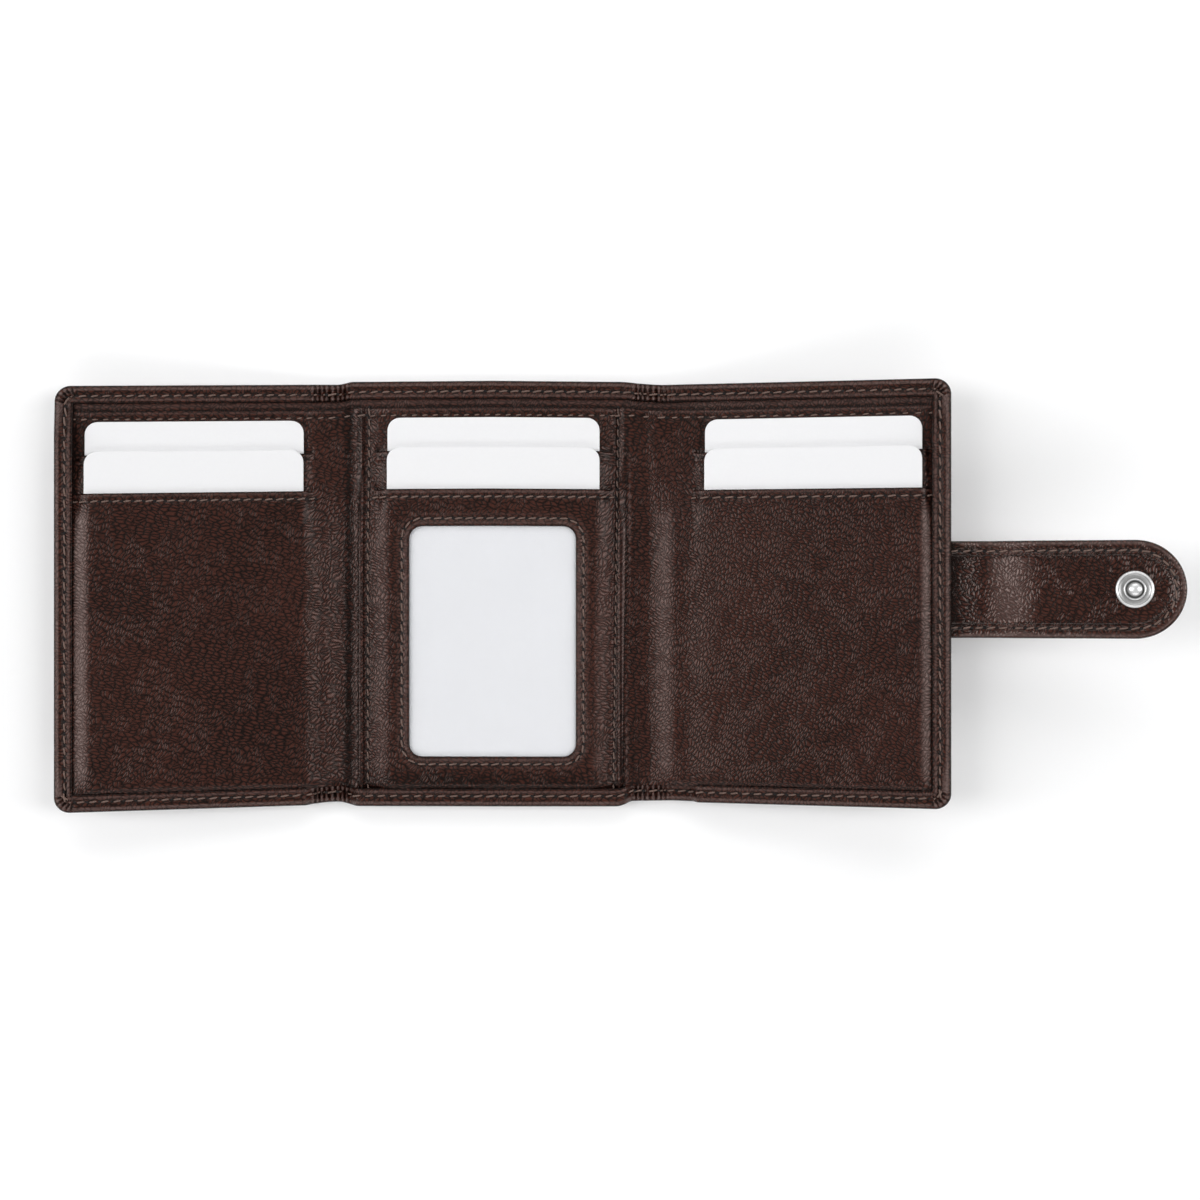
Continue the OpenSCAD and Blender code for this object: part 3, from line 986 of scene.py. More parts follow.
@dataclass
class Layout:
    """The wallet's main lines on the cut, from the frame's boxes.

    Attributes:
        left_end, right_end: the side edges.
        band: width of the turned edge.
        tuck: how far a face goes in under it.
        face_top: the faces' top edge.
        lower_slit, upper_slit: the slits' lips.
        middle_left: left edge of the raised middle face.
        right_low, right_top: its right edge at the bottom and at the top.
    """

    cut: Cut
    left_end: float = field(init=False)
    right_end: float = field(init=False)
    band: float = 4.6
    tuck: float = 0.35
    face_top: float = 47.0
    lower_slit: float = 26.2
    upper_slit: float = 35.9
    middle_left: float = -33.75
    right_low: float = 33.4
    right_top: float = 34.7

    def __post_init__(self) -> None:
        """Reads where the two outer edges are."""
        self.left_end = self.on_cut("left_shell", -1.0)
        self.right_end = self.on_cut("right_shell", 1.0)

    def on_cut(self, node: str, way: float) -> float:
        """Finds the far end of a node on the cut.

        Args:
            node: the CAD node.
            way: -1 for its left end and 1 for its right end.

        Returns:
            The place across the cut.
        """
        low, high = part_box(node)
        x = (high[0] if way > 0 else low[0]) / MM
        outer = self.cut.folds["right_outer" if way > 0 else "left_outer"]
        lean = math.radians(2.0 * abs(outer.lift))
        hinge = float(np.interp(outer.at, self.cut.s, self.cut.x))
        reach = abs(x - hinge) - math.sin(lean) * Cut.HINGE_H
        return outer.at + way * reach / math.cos(lean)

    def middle_right(self, y: Array) -> Array:
        """Returns where the middle face's right edge is, which leans a little."""
        return mix(self.right_low, self.right_top, (y + 49.3) / 96.3)

    def sections(self) -> list[Section]:
        """Splits the hide halfway between its fold lines.

        Returns:
            Its four sections, from left to right.
        """
        folds = self.cut.folds
        left_mid = (folds["left_inner"].at + folds["left_outer"].at) / 2.0
        right_mid = (folds["right_inner"].at + folds["right_outer"].at) / 2.0
        return [Section("left_flap", self.left_end, left_mid, folds["left_outer"], -1),
                Section("left_spine", left_mid, 0.0, folds["left_inner"]),
                Section("right_spine", 0.0, right_mid, folds["right_inner"]),
                Section("right_flap", right_mid, self.right_end, folds["right_outer"], 1)]

    def on_spine(self, s: Array, ease: float) -> Array:
        """Tells the spines from the panels.

        Args:
            s: place across the cut.
            ease: length over which it goes from one to the other.

        Returns:
            1 on the two spines and 0 on the panels.
        """
        out = np.zeros_like(np.asarray(s, float))
        for side, way in (("left", -1.0), ("right", 1.0)):
            inner, outer = abs(self.cut.folds[f"{side}_inner"].at), abs(self.cut.folds[f"{side}_outer"].at)
            out = out + smooth((way * s - inner + ease) / ease) * smooth((outer + ease - way * s) / ease)
        return out


@dataclass
class Hide:
    """The outer hide: one piece with its edges turned in, stitched all round.

    Attributes:
        hem_crown, edge_crown, spine_crown: heights of the turned edge at the top, elsewhere, and on the spines.
        socket: s and y of the snap's socket.
        RIM: distances from the rim of the grid lines that shape the turned edge.
    """

    cut: Cut
    layout: Layout
    finishes: Finishes
    corner: float = 4.0
    hem_crown: float = 1.9
    edge_crown: float = 4.75
    spine_crown: float = 2.5
    seam: float = 2.7
    pitch: float = 2.89
    socket: tuple[float, float] = (-17.59, 0.8)

    RIM = (0.0, 0.06, 0.2, 0.42, 0.72, 1.1, 1.5, 1.85, 2.15, 2.42, 2.7, 2.98, 3.25, 3.6, 3.95, 4.2, 4.38, 4.5,
           4.57, 4.59, 4.6)

    def crown(self, s: Array, y: Array, a: Array, top: Array, low: Array) -> Array:
        """Gives how high the turned edge stands.

        Args:
            s, y: place on the cut.
            a, top, low: distance from the side edge, the top edge and the bottom edge.

        Returns:
            The height of the edge's crown over the outer face.
        """
        spine = self.layout.on_spine(s, 2.4)
        bottom = mix(self.edge_crown, self.spine_crown, spine)
        side = mix(self.edge_crown, self.hem_crown, smooth((y - 44.5) / 4.5))
        out = np.where(top < low, self.hem_crown + 0.15 * spine, bottom)
        return np.where(a < np.minimum(top, low), side, out)

    def crimps(self, s: Array, low_edge: Array) -> Array:
        """Gives the small pleats where the turned edge is gathered at the two spines.

        Args:
            s: place across the cut.
            low_edge: true where the bottom edge is nearer than the top edge.

        Returns:
            What they add to the height.
        """
        left = smooth((s + 47.0) / 2.0) * smooth((-35.8 - s) / 1.0)
        right = smooth((s - 35.8) / 1.0) * smooth((47.5 - s) / 5.0)
        deep = np.where(low_edge, 0.42, 0.36)
        return deep * (left + right) * np.sin(2.0 * math.pi * (s + 0.15 * np.sin(s)) / 1.28)

    def pleats(self, a: Array, edge: Array, d: Array) -> Array:
        """Gives the fan of small pleats that a turned edge makes at a corner.

        Args:
            a: distance from the side edge.
            edge: distance from the nearer of the top and bottom edges.
            d: distance from the rim.

        Returns:
            The pleats, between -1 and 1.
        """
        near = (a < self.corner + 0.8) & (edge < self.corner + 0.8)
        angle = np.arctan2(self.corner + 1.5 - edge, self.corner + 1.5 - a)
        return np.where(near, np.cos(angle * 26.0) * smooth((d - 0.3) / 0.8) * smooth((3.9 - d) / 1.2), 0.0)

    def shade(self, s: Array, a: Array, top: Array, low: Array, d: Array) -> Array:
        """Gives the turned edge's painted light and shade: painted highlights on the rim's round and on the ridge
        inside the seam, painted shade in the seam, at the lip and between the pleats and crimps, and a darker very
        rim.

        Args:
            s: place across the cut.
            a, top, low: distance from the side edge, the top edge and the bottom edge.
            d: distance from the rim.

        Returns:
            The shade.
        """
        edge = np.minimum(top, low)
        # Painted highlights at d 0.95 and 3.8; painted shade at the rim, the seam and the lip, and on the pleats and
        # crimps.
        out = 1.2 * hump(d, 0.95, 0.3) - 1.2 * hump(d, 0.0, 0.35) - 0.6 * hump(d, self.seam, 0.5)
        out = out + 0.8 * hump(d, 3.8, 0.35) - 1.6 * hump(d, self.layout.band, 0.35)
        return out + 1.1 * self.pleats(a, edge, d) + 2.4 * self.crimps(s, low < top) * (a > edge) * (d < 4.55)

    def inner_height(self, s: Array, y: Array, a: Array, top: Array, low: Array, d: Array) -> Array:
        """Gives the height of the inner side of the hide, with its turned edge.

        Args:
            s, y: place on the cut.
            a, top, low: distance from the side edge, the top edge and the bottom edge.
            d: distance from the rim.

        Returns:
            The height over the outer face.
        """
        crown = self.crown(s, y, a, top, low)
        radius = np.minimum(1.25, 0.5 * crown)
        h = crown - rounding(d, radius)
        along = np.where(a < np.minimum(top, low), y, s)
        h = h - 0.34 * hump(d, self.seam, 0.5)
        h = h + 0.07 * wave(along, self.pitch) * hump(d, self.seam, 1.3)
        h = h + 0.10 * ripple(s, y, 17.0) * smooth(d / 1.5)
        h = h + self.crimps(s, low < top) * smooth((d - 0.1) / 0.9) * (a > np.minimum(top, low))
        h = h + 0.26 * self.pleats(a, np.minimum(top, low), d)
        width = self.layout.band
        lip = np.clip((d - (width - 0.35)) / 0.35, 0.0, 1.0)
        h = h - 0.35 * (1.0 - np.sqrt(1.0 - lip * lip))
        return np.where(d >= width - 0.001, 1.0, h)

    def outer_height(self, s: Array, y: Array, d: Array) -> Array:
        """Gives the height of the outer side of the hide, which lies on the table.

        Args:
            s, y: place on the cut.
            d: distance from the rim.

        Returns:
            The height, with its creases at the fold lines and its dent at the socket.
        """
        h = rounding(d, 0.9) + 0.26 * hump(d, self.seam, 0.45)
        for fold in ("left_inner", "left_outer", "right_inner", "right_outer"):
            h = h + 0.22 * hump(s, self.cut.folds[fold].at, 0.9)
        reach = np.hypot(s - self.socket[0], y - self.socket[1])
        return h + 0.55 * smooth((5.3 - reach) / 0.8)

    def columns(self, section: Section) -> Array:
        """Places a section's grid lines, closest where the hide bends or is gathered.

        Args:
            section: the stretch of the cut.

        Returns:
            The places across the cut.
        """
        marks = section.at_rim(self.RIM)
        if section.name == "left_spine":
            marks = [self.socket[0] + t for t in np.arange(-6.0, 6.1, 0.8)]
        s = lines(section.start, section.end, 0.75, marks)
        if section.rim == 0:
            gathered = self.layout.on_spine(s, 3.0) > 0.01
            tight, rest = lines(s[gathered][0], s[gathered][-1], 0.3), s[~gathered]
        else:
            fold = section.fold.at
            ends = (min(fold, section.end) - 3.0, section.end) if section.rim < 0 else (section.start, fold + 3.0)
            tight = lines(*ends, 0.35)
            rest = s[(s < tight[0]) | (s > tight[-1])]
        return np.unique(np.round(np.concatenate([rest, tight]), 4))

    def build_section(self, section: Section) -> Piece:
        """Builds one section of the hide.

        Args:
            section: the stretch of the cut.

        Returns:
            The piece.
        """
        half = Cut.HALF_HEIGHT
        s = self.columns(section)
        socket_rows = [self.socket[1] + t for t in np.arange(-6.4, 6.5, 0.8)]
        y = lines(-half, half, 9.0, inward(-half, half, self.RIM) + socket_rows)
        a, grid_y = np.meshgrid(section.from_rim(s), y)
        new_a, new_edge, d = round_corner(a, half - np.abs(grid_y), self.corner)
        new_s = np.broadcast_to(s, a.shape) - section.rim * (new_a - a)
        new_y = np.sign(grid_y) * (half - new_edge)
        top, low = half - new_y, half + new_y
        if section.rim < 0:
            # The low hem is drawn out, so that the lifted flap's edge looks straight from above.
            short = self.edge_crown - self.crown(new_s, new_y, new_a, top, low)
            lean = math.radians(2.0 * abs(section.fold.lift))
            new_s = new_s - short * math.sin(lean) * smooth((7.0 - new_a) / 4.0)
        inner = self.inner_height(new_s, new_y, new_a, top, low, d)
        outer = self.outer_height(new_s, new_y, d)
        skin = Skin(f"hide_{section.name}")
        upper, lower = self.cut.place(new_s, new_y, inner), self.cut.place(new_s, new_y, outer)
        # Painted highlight on the outer side's rim round, painted shade at the rim and in the seam.
        back_shade = 0.3 * hump(d, 1.1, 0.4) - 0.6 * hump(d, 0.0, 0.4) - 0.4 * hump(d, self.seam, 0.5)
        skin.grid(upper, shade=self.shade(new_s, new_a, top, low, d))
        skin.grid(lower, flip=True, shade=back_shade)
        skin.grid(np.stack([self.ring(lower, section), self.ring(upper, section)]), shade=-0.8)
        split_ring(skin)
        return skin.build(self.finishes.shell)

    def ring(self, points: Array, section: Section) -> Array:
        """Gives the rim of a grid in order, open where the section meets the next.

        Args:
            points: rows by columns by 3.
            section: the stretch of the cut.

        Returns:
            The rim's points, anticlockwise from above, with a point of no place in the gap of a middle section.
        """
        bottom, top = points[0, :], points[-1, ::-1]
        if section.rim < 0:
            return np.concatenate([top, points[::-1, 0], bottom])
        if section.rim > 0:
            return np.concatenate([bottom, points[:, -1], top])
        return np.concatenate([bottom, np.full((1, 3), np.nan), top])

    def seam_rows(self, section: Section, back: bool) -> list[Row]:
        """Lays out the stitching near the hide's rim.

        Args:
            section: the stretch of the cut.
            back: whether it is on the outer side.

        Returns:
            The rows.
        """
        d, r, half = self.seam, self.corner, Cut.HALF_HEIGHT
        turn = np.linspace(0.0, math.pi / 2.0, 7)
        routes = []
        for way in (1.0, -1.0):
            s, corner_y = np.arange(section.start, section.end + 0.01, 0.5), []
            if section.rim != 0:
                bend = section.at_rim([r])[0]
                s = np.arange(section.end if section.rim < 0 else section.start, bend, 0.5 * section.rim)
                corner_y = way * (half - r + (r - d) * np.cos(turn))
            y = np.concatenate([np.full(len(s), way * (half - d)), corner_y])
            if section.rim != 0:
                s = np.concatenate([s, bend + section.rim * (r - d) * np.sin(turn)])
            routes.append((s, y))
        if section.rim != 0:
            y = np.arange(-half + r, half - r + 0.01, 0.5)
            routes.append((np.full(len(y), section.at_rim([d])[0]), y))
        rows = []
        for s, y in routes:
            h = np.full(len(s), 0.26)
            if not back:
                h = self.inner_height(s, y, section.from_rim(s), half - y, half + y, np.full(len(s), d)) + 0.12
            rows.append(Row(s, y, h, back))
        return rows


def split_ring(skin: Skin) -> None:
    """Drops the wall quads that a gap in the rim left without a place.

    Args:
        skin: the mesh.
    """
    points = np.concatenate(skin.points)
    bad = np.isnan(points).any(1)
    for i, faces in enumerate(skin.faces):
        skin.faces[i] = faces[~bad[faces].any(1)]
    points[bad] = points[~bad][0]
    skin.points = [points]


# The faces with their pockets


@dataclass(frozen=True)
class Pocket:
    """Where a panel's cards and slits are on the cut."""

    card_from: float
    card_to: float
    slit_from: float
    slit_to: float


@dataclass(frozen=True)
class Layer:
    """One layer of a face, between two of its lips.

    Attributes:
        foot: the lip of the slit below it, or None at the face's bottom.
        lip: where it ends at the top.
        inside: its height over a card.
        whole: whether its lip runs from side to side, as the face's top edge does.
    """

    foot: Optional[float]
    lip: float
    inside: Union[float, Array]
    whole: bool = False


@dataclass
class Face:
    """The inner face of one panel: leather with two slits, whose lips lie over the cards.

    Attributes:
        front, strip, back: heights over a card of the front pocket, between the slits and above them.
        tuck: how far a layer goes down behind the lip below it.
        groove: height of the groove beside the turned edge at the bottom.
        AT_LIP, AT_SEAM: distances from a lip and from a seam of the grid lines that shape them.
    """

    cut: Cut
    layout: Layout
    finishes: Finishes
    front: float = 5.2
    strip: float = 3.62
    back: float = 2.34
    wall: float = 0.5
    tuck: float = 2.6
    lip_seam: float = 2.0
    groove: float = 4.35

    AT_LIP = (0.5, 0.34, 0.2, 0.09, 0.03)
    AT_SEAM = (-0.7, -0.35, 0.0, 0.35, 0.7)

    def pocket(self, s: float) -> Pocket:
        """Finds the pocket of a panel.

        Args:
            s: a place on the panel or the spine beside it.

        Returns:
            The pocket.
        """
        left, right = self.cut.folds["left_outer"].at, self.cut.folds["right_outer"].at
        if s < self.cut.folds["left_inner"].at:
            return Pocket(left - 56.7, left - 2.6, left - 59.4, left + 0.1)
        if s > self.cut.folds["right_inner"].at:
            return Pocket(right + 3.5, right + 57.9, right + 0.6, right + 59.8)
        return Pocket(-26.6, 27.5, -29.8, 30.9)

    def open(self, s: Array, pocket: Pocket) -> Array:
        """Returns 1 where the slits are open and 0 beyond their ends."""
        return smooth((s - pocket.slit_from) / 0.7) * smooth((pocket.slit_to - s) / 0.7)

    def over_card(self, s: Array, pocket: Pocket) -> Array:
        """Returns 1 over and beside the cards and 0 at the slits' ends."""
        room, ease = 0.3, 2.3
        return smooth((s - pocket.card_from + room + ease) / ease) * smooth((pocket.card_to + room + ease - s) / ease)

    def level(self, s: Array, y: Array, inside: Union[float, Array], pocket: Pocket) -> Array:
        """Gives the height of the face, before its edges.

        Args:
            s, y: place on the cut.
            inside: height of this layer over a card.
            pocket: the panel's pocket.

        Returns:
            The height over the outer face.
        """
        beside = self.front - 2.5 * smooth((y - 8.0) / 32.0)
        h = mix(beside, inside, self.over_card(s, pocket))
        return h + 0.09 * ripple(s, y, 23.0, 0.6) + 0.03 * ripple(s, y, 7.0, 2.0)

    def outer_side(self, s: Array, y: Array, h: Array) -> Array:
        """Brings the height down to the groove beside the turned edge.

        Args:
            s, y: place on the cut.
            h: the height.

        Returns:
            The new height.
        """
        left, right = self.layout.left_end, self.layout.right_end
        d = np.minimum(s - left, right - s)
        low = Cut.HALF_HEIGHT + y
        side_groove = 4.1 - 1.95 * smooth((y - 8.0) / 32.0)
        wide = np.where(s < 0.0, 4.6, 3.0)
        h = mix(side_groove, h, smooth((d - self.layout.band + 0.3) / wide))
        return mix(self.groove, h, smooth((low - self.layout.band + 0.3) / 1.4))

    def spine_side(self, s: Array, y: Array, h: Array) -> Array:
        """Adds the slope down to the spine, and the valley beside the raised middle face.

        Args:
            s, y: place on the cut.
            h: the height.

        Returns:
            The new height.
        """
        wander = 0.35 * np.sin(y / 9.0) + 0.12 * np.sin(y / 2.3)
        for side, way in (("left", -1.0), ("right", 1.0)):
            u = way * s
            inner = abs(self.cut.folds[f"{side}_inner"].at)
            rise = smooth((inner - 0.5 - u) / 1.6)
            if side == "left":
                slope = 0.5 * smooth((u - inner - 0.2) / 6.5) + 0.5 * smooth((u - inner - 4.9) / 7.5)
                valley = 2.2 + 0.3 * rise
                crease = 0.12 * hump(u, 38.0, 0.5)
            else:
                slope = 0.74 * smooth((u - inner - 4.4) / 7.0) + 0.26 * smooth((u - inner - 10.9) / 10.0)
                valley = 3.3 + 0.2 * rise
                crease = -0.18 * hump(u, 40.0 + wander, 1.2)
            pucker = 0.10 * wave(y, 2.7) * hump(u, inner - 1.4, 0.7)
            h = np.where(u > 33.0, mix(valley + pucker, h, slope) + crease, h)
        return h

    def seams(self, s: Array, y: Array, h: Array, opened: Array) -> Array:
        """Sinks the rows of stitching.

        Args:
            s, y: place on the cut.
            h: the height.
            opened: 1 where the slits are open.

        Returns:
            The new height.
        """
        lips = ((self.layout.face_top, 1.0), (self.layout.lower_slit, opened), (self.layout.upper_slit, opened))
        for lip, share in lips:
            row = hump(y, lip - self.lip_seam, 0.42) * share
            h = h - 0.24 * row + 0.05 * row * wave(s, PULL)
        return h

    def layers(self) -> tuple[Layer, Layer, Layer]:
        """Returns the front pocket, the strip between the slits and the part above them."""
        low, high, top = self.layout.lower_slit, self.layout.upper_slit, self.layout.face_top
        return Layer(None, low, self.front), Layer(low, high, self.strip), Layer(high, top, self.back, True)

    def rows(self) -> list[tuple[Layer, Array, Array]]:
        """Places the grid lines of each layer up the cut.

        Returns:
            Each layer, with its lines where the slits are shut and where they are open.
        """
        out = []
        for layer in self.layers():
            near = [layer.lip - t for t in self.AT_LIP] + [layer.lip - self.lip_seam + t for t in self.AT_SEAM]
            if layer.foot is None:
                start = -Cut.HALF_HEIGHT + self.layout.band - self.layout.tuck
                shut = opened = lines(start, layer.lip, 0.9, [start + t for t in (0.5, 1.0, 1.6, 2.3)] + near)
            else:
                shut = lines(layer.foot, layer.lip, 0.8, [layer.foot + t for t in (0.12, 0.3, 0.6, 1.0)] + near)
                opened = shut - self.tuck * (1.0 - smooth((shut - layer.foot) / 1.0))
            out.append((layer, shut, opened))
        return out

    def height(self, s: Array, y: Array, layer: Layer, pocket: Pocket, opened: Array) -> Array:
        """Gives the finished height of one layer of the face.

        Args:
            s, y: place on the cut.
            layer: the layer.
            pocket: the panel's pocket.
            opened: 1 where the slits are open.

        Returns:
            The height over the outer face.
        """
        h = self.level(s, y, layer.inside, pocket)
        if layer.foot is not None:
            h = h - 0.9 * opened * (1.0 - self.over_card(s, pocket)) * (1.0 - smooth((y - layer.foot) / 1.7))
        h = self.seams(s, y, h, opened)
        h = h - rounding(layer.lip - y, 0.42) * 0.85 * (np.ones_like(opened) if layer.whole else opened)
        return self.spine_side(s, y, self.outer_side(s, y, h))

    def shade(self, s: Array, y: Array, layer: Layer, pocket: Pocket, opened: Array) -> Array:
        """Gives the face's painted light and shade: painted highlights just under its lips, painted shade at the
        lips' edges, in the seams, beside the cards and in the open slits.

        Args:
            s, y: place on the cut.
            layer: the layer.
            pocket: the panel's pocket.
            opened: 1 where the slits are open.

        Returns:
            The shade, from about -1 to 1.
        """
        t = layer.lip - y
        # Painted highlight just under each lip, painted shade at its edge.
        out = (0.9 * hump(t, 0.7, 0.32) - 1.3 * hump(t, 0.0, 0.3)) * (1.0 if layer.whole else opened)
        if layer.foot is not None and not layer.whole:
            out = out + (0.5 * hump(t, 1.95, 0.3) - 1.2 * hump(t, 1.4, 0.3)) * opened
        for lip, share in ((self.layout.face_top, 1.0), (self.layout.lower_slit, opened)):
            out = out - 0.6 * hump(y, lip - self.lip_seam, 0.45) * share
        if layer.foot is not None:
            # Painted shade beside the cards' sides and in the open slits.
            beside = hump(s, pocket.card_from - 0.3, 0.35) + hump(s, pocket.card_to + 0.3, 0.35)
            out = out - 0.7 * beside * (y < 44.6)
            out = out - 1.2 * opened * (1.0 - smooth((y - layer.foot - 0.2) / 0.5))
        return out + self.edge_shade(s, y)

    def edge_shade(self, s: Array, y: Array) -> Array:
        """Gives the painted shade beside the turned edge and beside the raised middle face, and the painted
        highlights on the slopes near the side edges, on the puckers and along the spine creases.

        Args:
            s, y: place on the cut.

        Returns:
            The shade.
        """
        d = np.minimum(s - self.layout.left_end, self.layout.right_end - s)
        out = -0.9 * hump(d, self.layout.band, 0.3) - 0.9 * hump(Cut.HALF_HEIGHT + y, self.layout.band, 0.3)
        # Painted highlight on the slopes down to the side edges, over the cards' height.
        bulge = smooth((24.0 - y) / 5.0) * smooth((y + 49.0) / 6.0)
        out = out + bulge * np.where(s < 0.0, 0.95 * hump(d, 6.6, 1.6), 0.85 * hump(d, 6.2, 1.1))
        # Painted shade at the middle face's edges and in the valley beside them, painted highlight on the puckers.
        for way, edge, dark in ((-1.0, -self.layout.middle_left, 1.2), (1.0, self.layout.middle_right(y), 0.2)):
            out = out - 1.2 * hump(way * s, edge, 0.35) - dark * hump(way * s, edge + 2.7, 1.2)
            out = out + 1.1 * hump(way * s, edge + 0.8, 0.3) * (0.5 + 0.5 * wave(y, 2.7))
        # Painted highlights along the spine creases.
        return out + 0.45 * hump(s, -38.0, 0.4) + 0.4 * hump(s, 44.3 + 0.35 * np.sin(y / 9.0), 2.2) * bulge

    def build(self, name: str, start: float, end: float, step: float = 0.85) -> Piece:
        """Builds the face between two places on the cut.

        Args:
            name: name of the piece.
            start: its left end.
            end: its right end.
            step: widest gap between grid lines.

        Returns:
            The piece.
        """
        pocket = self.pocket((start + end) / 2.0)
        beside = beyond(pocket.card_from, pocket.card_to, (0.3, 1.0, 1.8))
        s = lines(start, end, step, self.slit_marks(pocket) + beside)
        skin = Skin(name)
        opened = self.open(s, pocket)[None, :]
        for layer, shut, opened_rows in self.rows():
            y = mix(shut[:, None], opened_rows[:, None], opened)
            grid_s, is_open = np.broadcast_to(s[None, :], y.shape), np.broadcast_to(opened, y.shape)
            h = self.height(grid_s, y, layer, pocket, is_open)
            skin.grid(self.cut.place(grid_s, y, h), shade=self.shade(grid_s, y, layer, pocket, is_open))
        return skin.build(self.finishes.inner, self.wall)

    def slit_marks(self, pocket: Pocket) -> list[float]:
        """Returns the places across the cut that need a grid line at the slits' ends."""
        return [v + t for v in (pocket.slit_from, pocket.slit_to) for t in (-0.6, -0.35, 0.0, 0.35, 0.7, 1.0)]

    def seam_rows(self, start: float, end: float) -> list[Row]:
        """Lays out the stitching along the face's top edge and its lower slit.

        Args:
            start: its left end.
            end: its right end.

        Returns:
            The rows.
        """
        pocket = self.pocket((start + end) / 2.0)
        front, _, back = self.layers()
        # The top row lies a little deeper, so that the back card slides out over it.
        slit = (max(start, pocket.slit_from + 0.6), min(end, pocket.slit_to - 0.6))
        rows = []
        for layer, (s0, s1), proud in ((back, (start, end), -0.05), (front, slit, 0.1)):
            if s1 - s0 < 3.0:
                continue
            s = np.arange(s0, s1 + 0.01, 0.5)
            y = np.full(len(s), layer.lip - self.lip_seam)
            rows.append(Row(s, y, self.height(s, y, layer, pocket, self.open(s, pocket)) + proud))
        return rows


@dataclass
class MiddleFace(Face):
    """The middle panel's face: a raised piece with a window, stitched down both its sides.

    Attributes:
        grid_end: where its right edge is before it leans.
        window: the window's left, right, lower and upper edge.
        AT_WINDOW, AT_SIDE: distances from the window and from the sides of the grid lines that round them.
    """

    grid_end: float = 34.0
    side_seam: float = 2.4
    window: tuple[float, float, float, float] = (-20.65, 21.45, -41.0, 16.8)
    window_round: float = 3.2
    frame_seam: float = 1.95

    AT_WINDOW = (0.0, 0.05, 0.15, 0.3, 0.5, 0.8, 1.15, 1.5, 1.75, 1.95, 2.15, 2.4, 2.8, 3.4, 4.2)
    AT_SIDE = (0.0, 0.05, 0.16, 0.34, 0.6, 1.0, 1.5, 1.95, 2.2, 2.4, 2.6, 2.85, 3.3)

    def from_side(self, s: Array, y: Array) -> Array:
        """Returns the distance from the nearer of the face's two side edges."""
        return np.minimum(s - self.layout.middle_left, self.layout.middle_right(y) - s)

    def window_distance(self, s: Array, y: Array) -> Array:
        """Gives the distance from the window's round-cornered edge.

        Args:
            s, y: place on the cut.

        Returns:
            The distance outside it.
        """
        x0, x1, y0, y1 = self.window
        r = self.window_round
        dx = np.maximum(x0 + r - s, s - x1 + r)
        dy = np.maximum(y0 + r - y, y - y1 + r)
        return np.hypot(np.maximum(dx, 0.0), np.maximum(dy, 0.0)) + np.minimum(np.maximum(dx, dy), 0.0) - r

    def round_window(self, s: Array, y: Array) -> tuple[Array, Array]:
        """Draws the grid lines round the window in at its corners.

        Args:
            s, y: place of each grid point on the cut.

        Returns:
            The same points, with those near a corner on its round.
        """
        x0, x1, y0, y1 = self.window
        cx, cy, wx, wy = (x0 + x1) / 2.0, (y0 + y1) / 2.0, (x1 - x0) / 2.0, (y1 - y0) / 2.0
        px, py = np.abs(s - cx), np.abs(y - cy)
        e = np.maximum(px - wx, py - wy)
        fade = np.clip(1.0 - e / 4.2, 0.0, 1.0)
        r = (self.window_round + np.maximum(e, 0.0)) * fade
        ax, ay = px - (wx + e - r), py - (wy + e - r)
        corner = (e > -1e-6) & (ax > 0) & (ay > 0) & (r > 1e-6)
        length = np.where(corner, np.hypot(ax, ay), 1.0)
        reach = np.maximum(ax, ay)
        new_x = np.where(corner, wx + e - r + ax / length * reach, px)
        new_y = np.where(corner, wy + e - r + ay / length * reach, py)
        return cx + np.sign(s - cx) * new_x, cy + np.sign(y - cy) * new_y

    def outer_side(self, s: Array, y: Array, h: Array) -> Array:
        """Adds the round side edges, the groove at the bottom, the side seams and the window's frame.

        Args:
            s, y: place on the cut.
            h: the height.

        Returns:
            The new height.
        """
        low = Cut.HALF_HEIGHT + y
        h = mix(self.groove, h, smooth((low - self.layout.band + 0.3) / 1.4))
        d = self.from_side(s, y)
        h = h - rounding(np.maximum(d, 0.0), 0.55) - 1.15 * (1.0 - smooth((d - 2.0) / 6.5))
        h = h - 0.26 * hump(d, self.side_seam, 0.45)
        h = h + 0.05 * wave(y, PULL) * hump(d, self.side_seam, 0.9)
        w = self.window_distance(s, y)
        h = h - rounding(np.maximum(w, 0.0), 0.4) * 0.8 - 0.24 * hump(w, self.frame_seam, 0.42)
        return h + 0.12 * hump(w, 0.9, 0.6)

    def spine_side(self, s: Array, y: Array, h: Array) -> Array:
        """Returns h as it is, because this face ends before the spines."""
        return h

    def edge_shade(self, s: Array, y: Array) -> Array:
        """Gives the painted light and shade along the face's own edges and round the window: painted highlights just
        inside them and on the side slopes, painted shade at the edges, in the seams, along the strip below the window
        and beside the turned edge.

        Args:
            s, y: place on the cut.

        Returns:
            The shade.
        """
        d = self.from_side(s, y)
        w = self.window_distance(s, y)
        # Painted highlight just inside each edge and round the window, painted shade at the edges and in the seams.
        out = 1.6 * hump(d, 0.6, 0.25) - 1.4 * hump(d, 0.0, 0.25) - 0.6 * hump(d, self.side_seam, 0.5)
        out = out + 0.7 * hump(w, 0.85, 0.4) - 1.1 * hump(w, 0.0, 0.3) - 0.6 * hump(w, self.frame_seam, 0.45)
        low = Cut.HALF_HEIGHT + y
        # Painted highlight on the side slopes, painted shade on the strip near the bottom.
        out = out + 0.3 * hump(d, 6.0, 2.0) * smooth((24.0 - y) / 3.0) - 0.7 * hump(low, 6.3, 1.8)
        return out + 0.3 * hump(w, 2.9, 0.5) - 1.1 * hump(low, self.layout.band, 0.35)

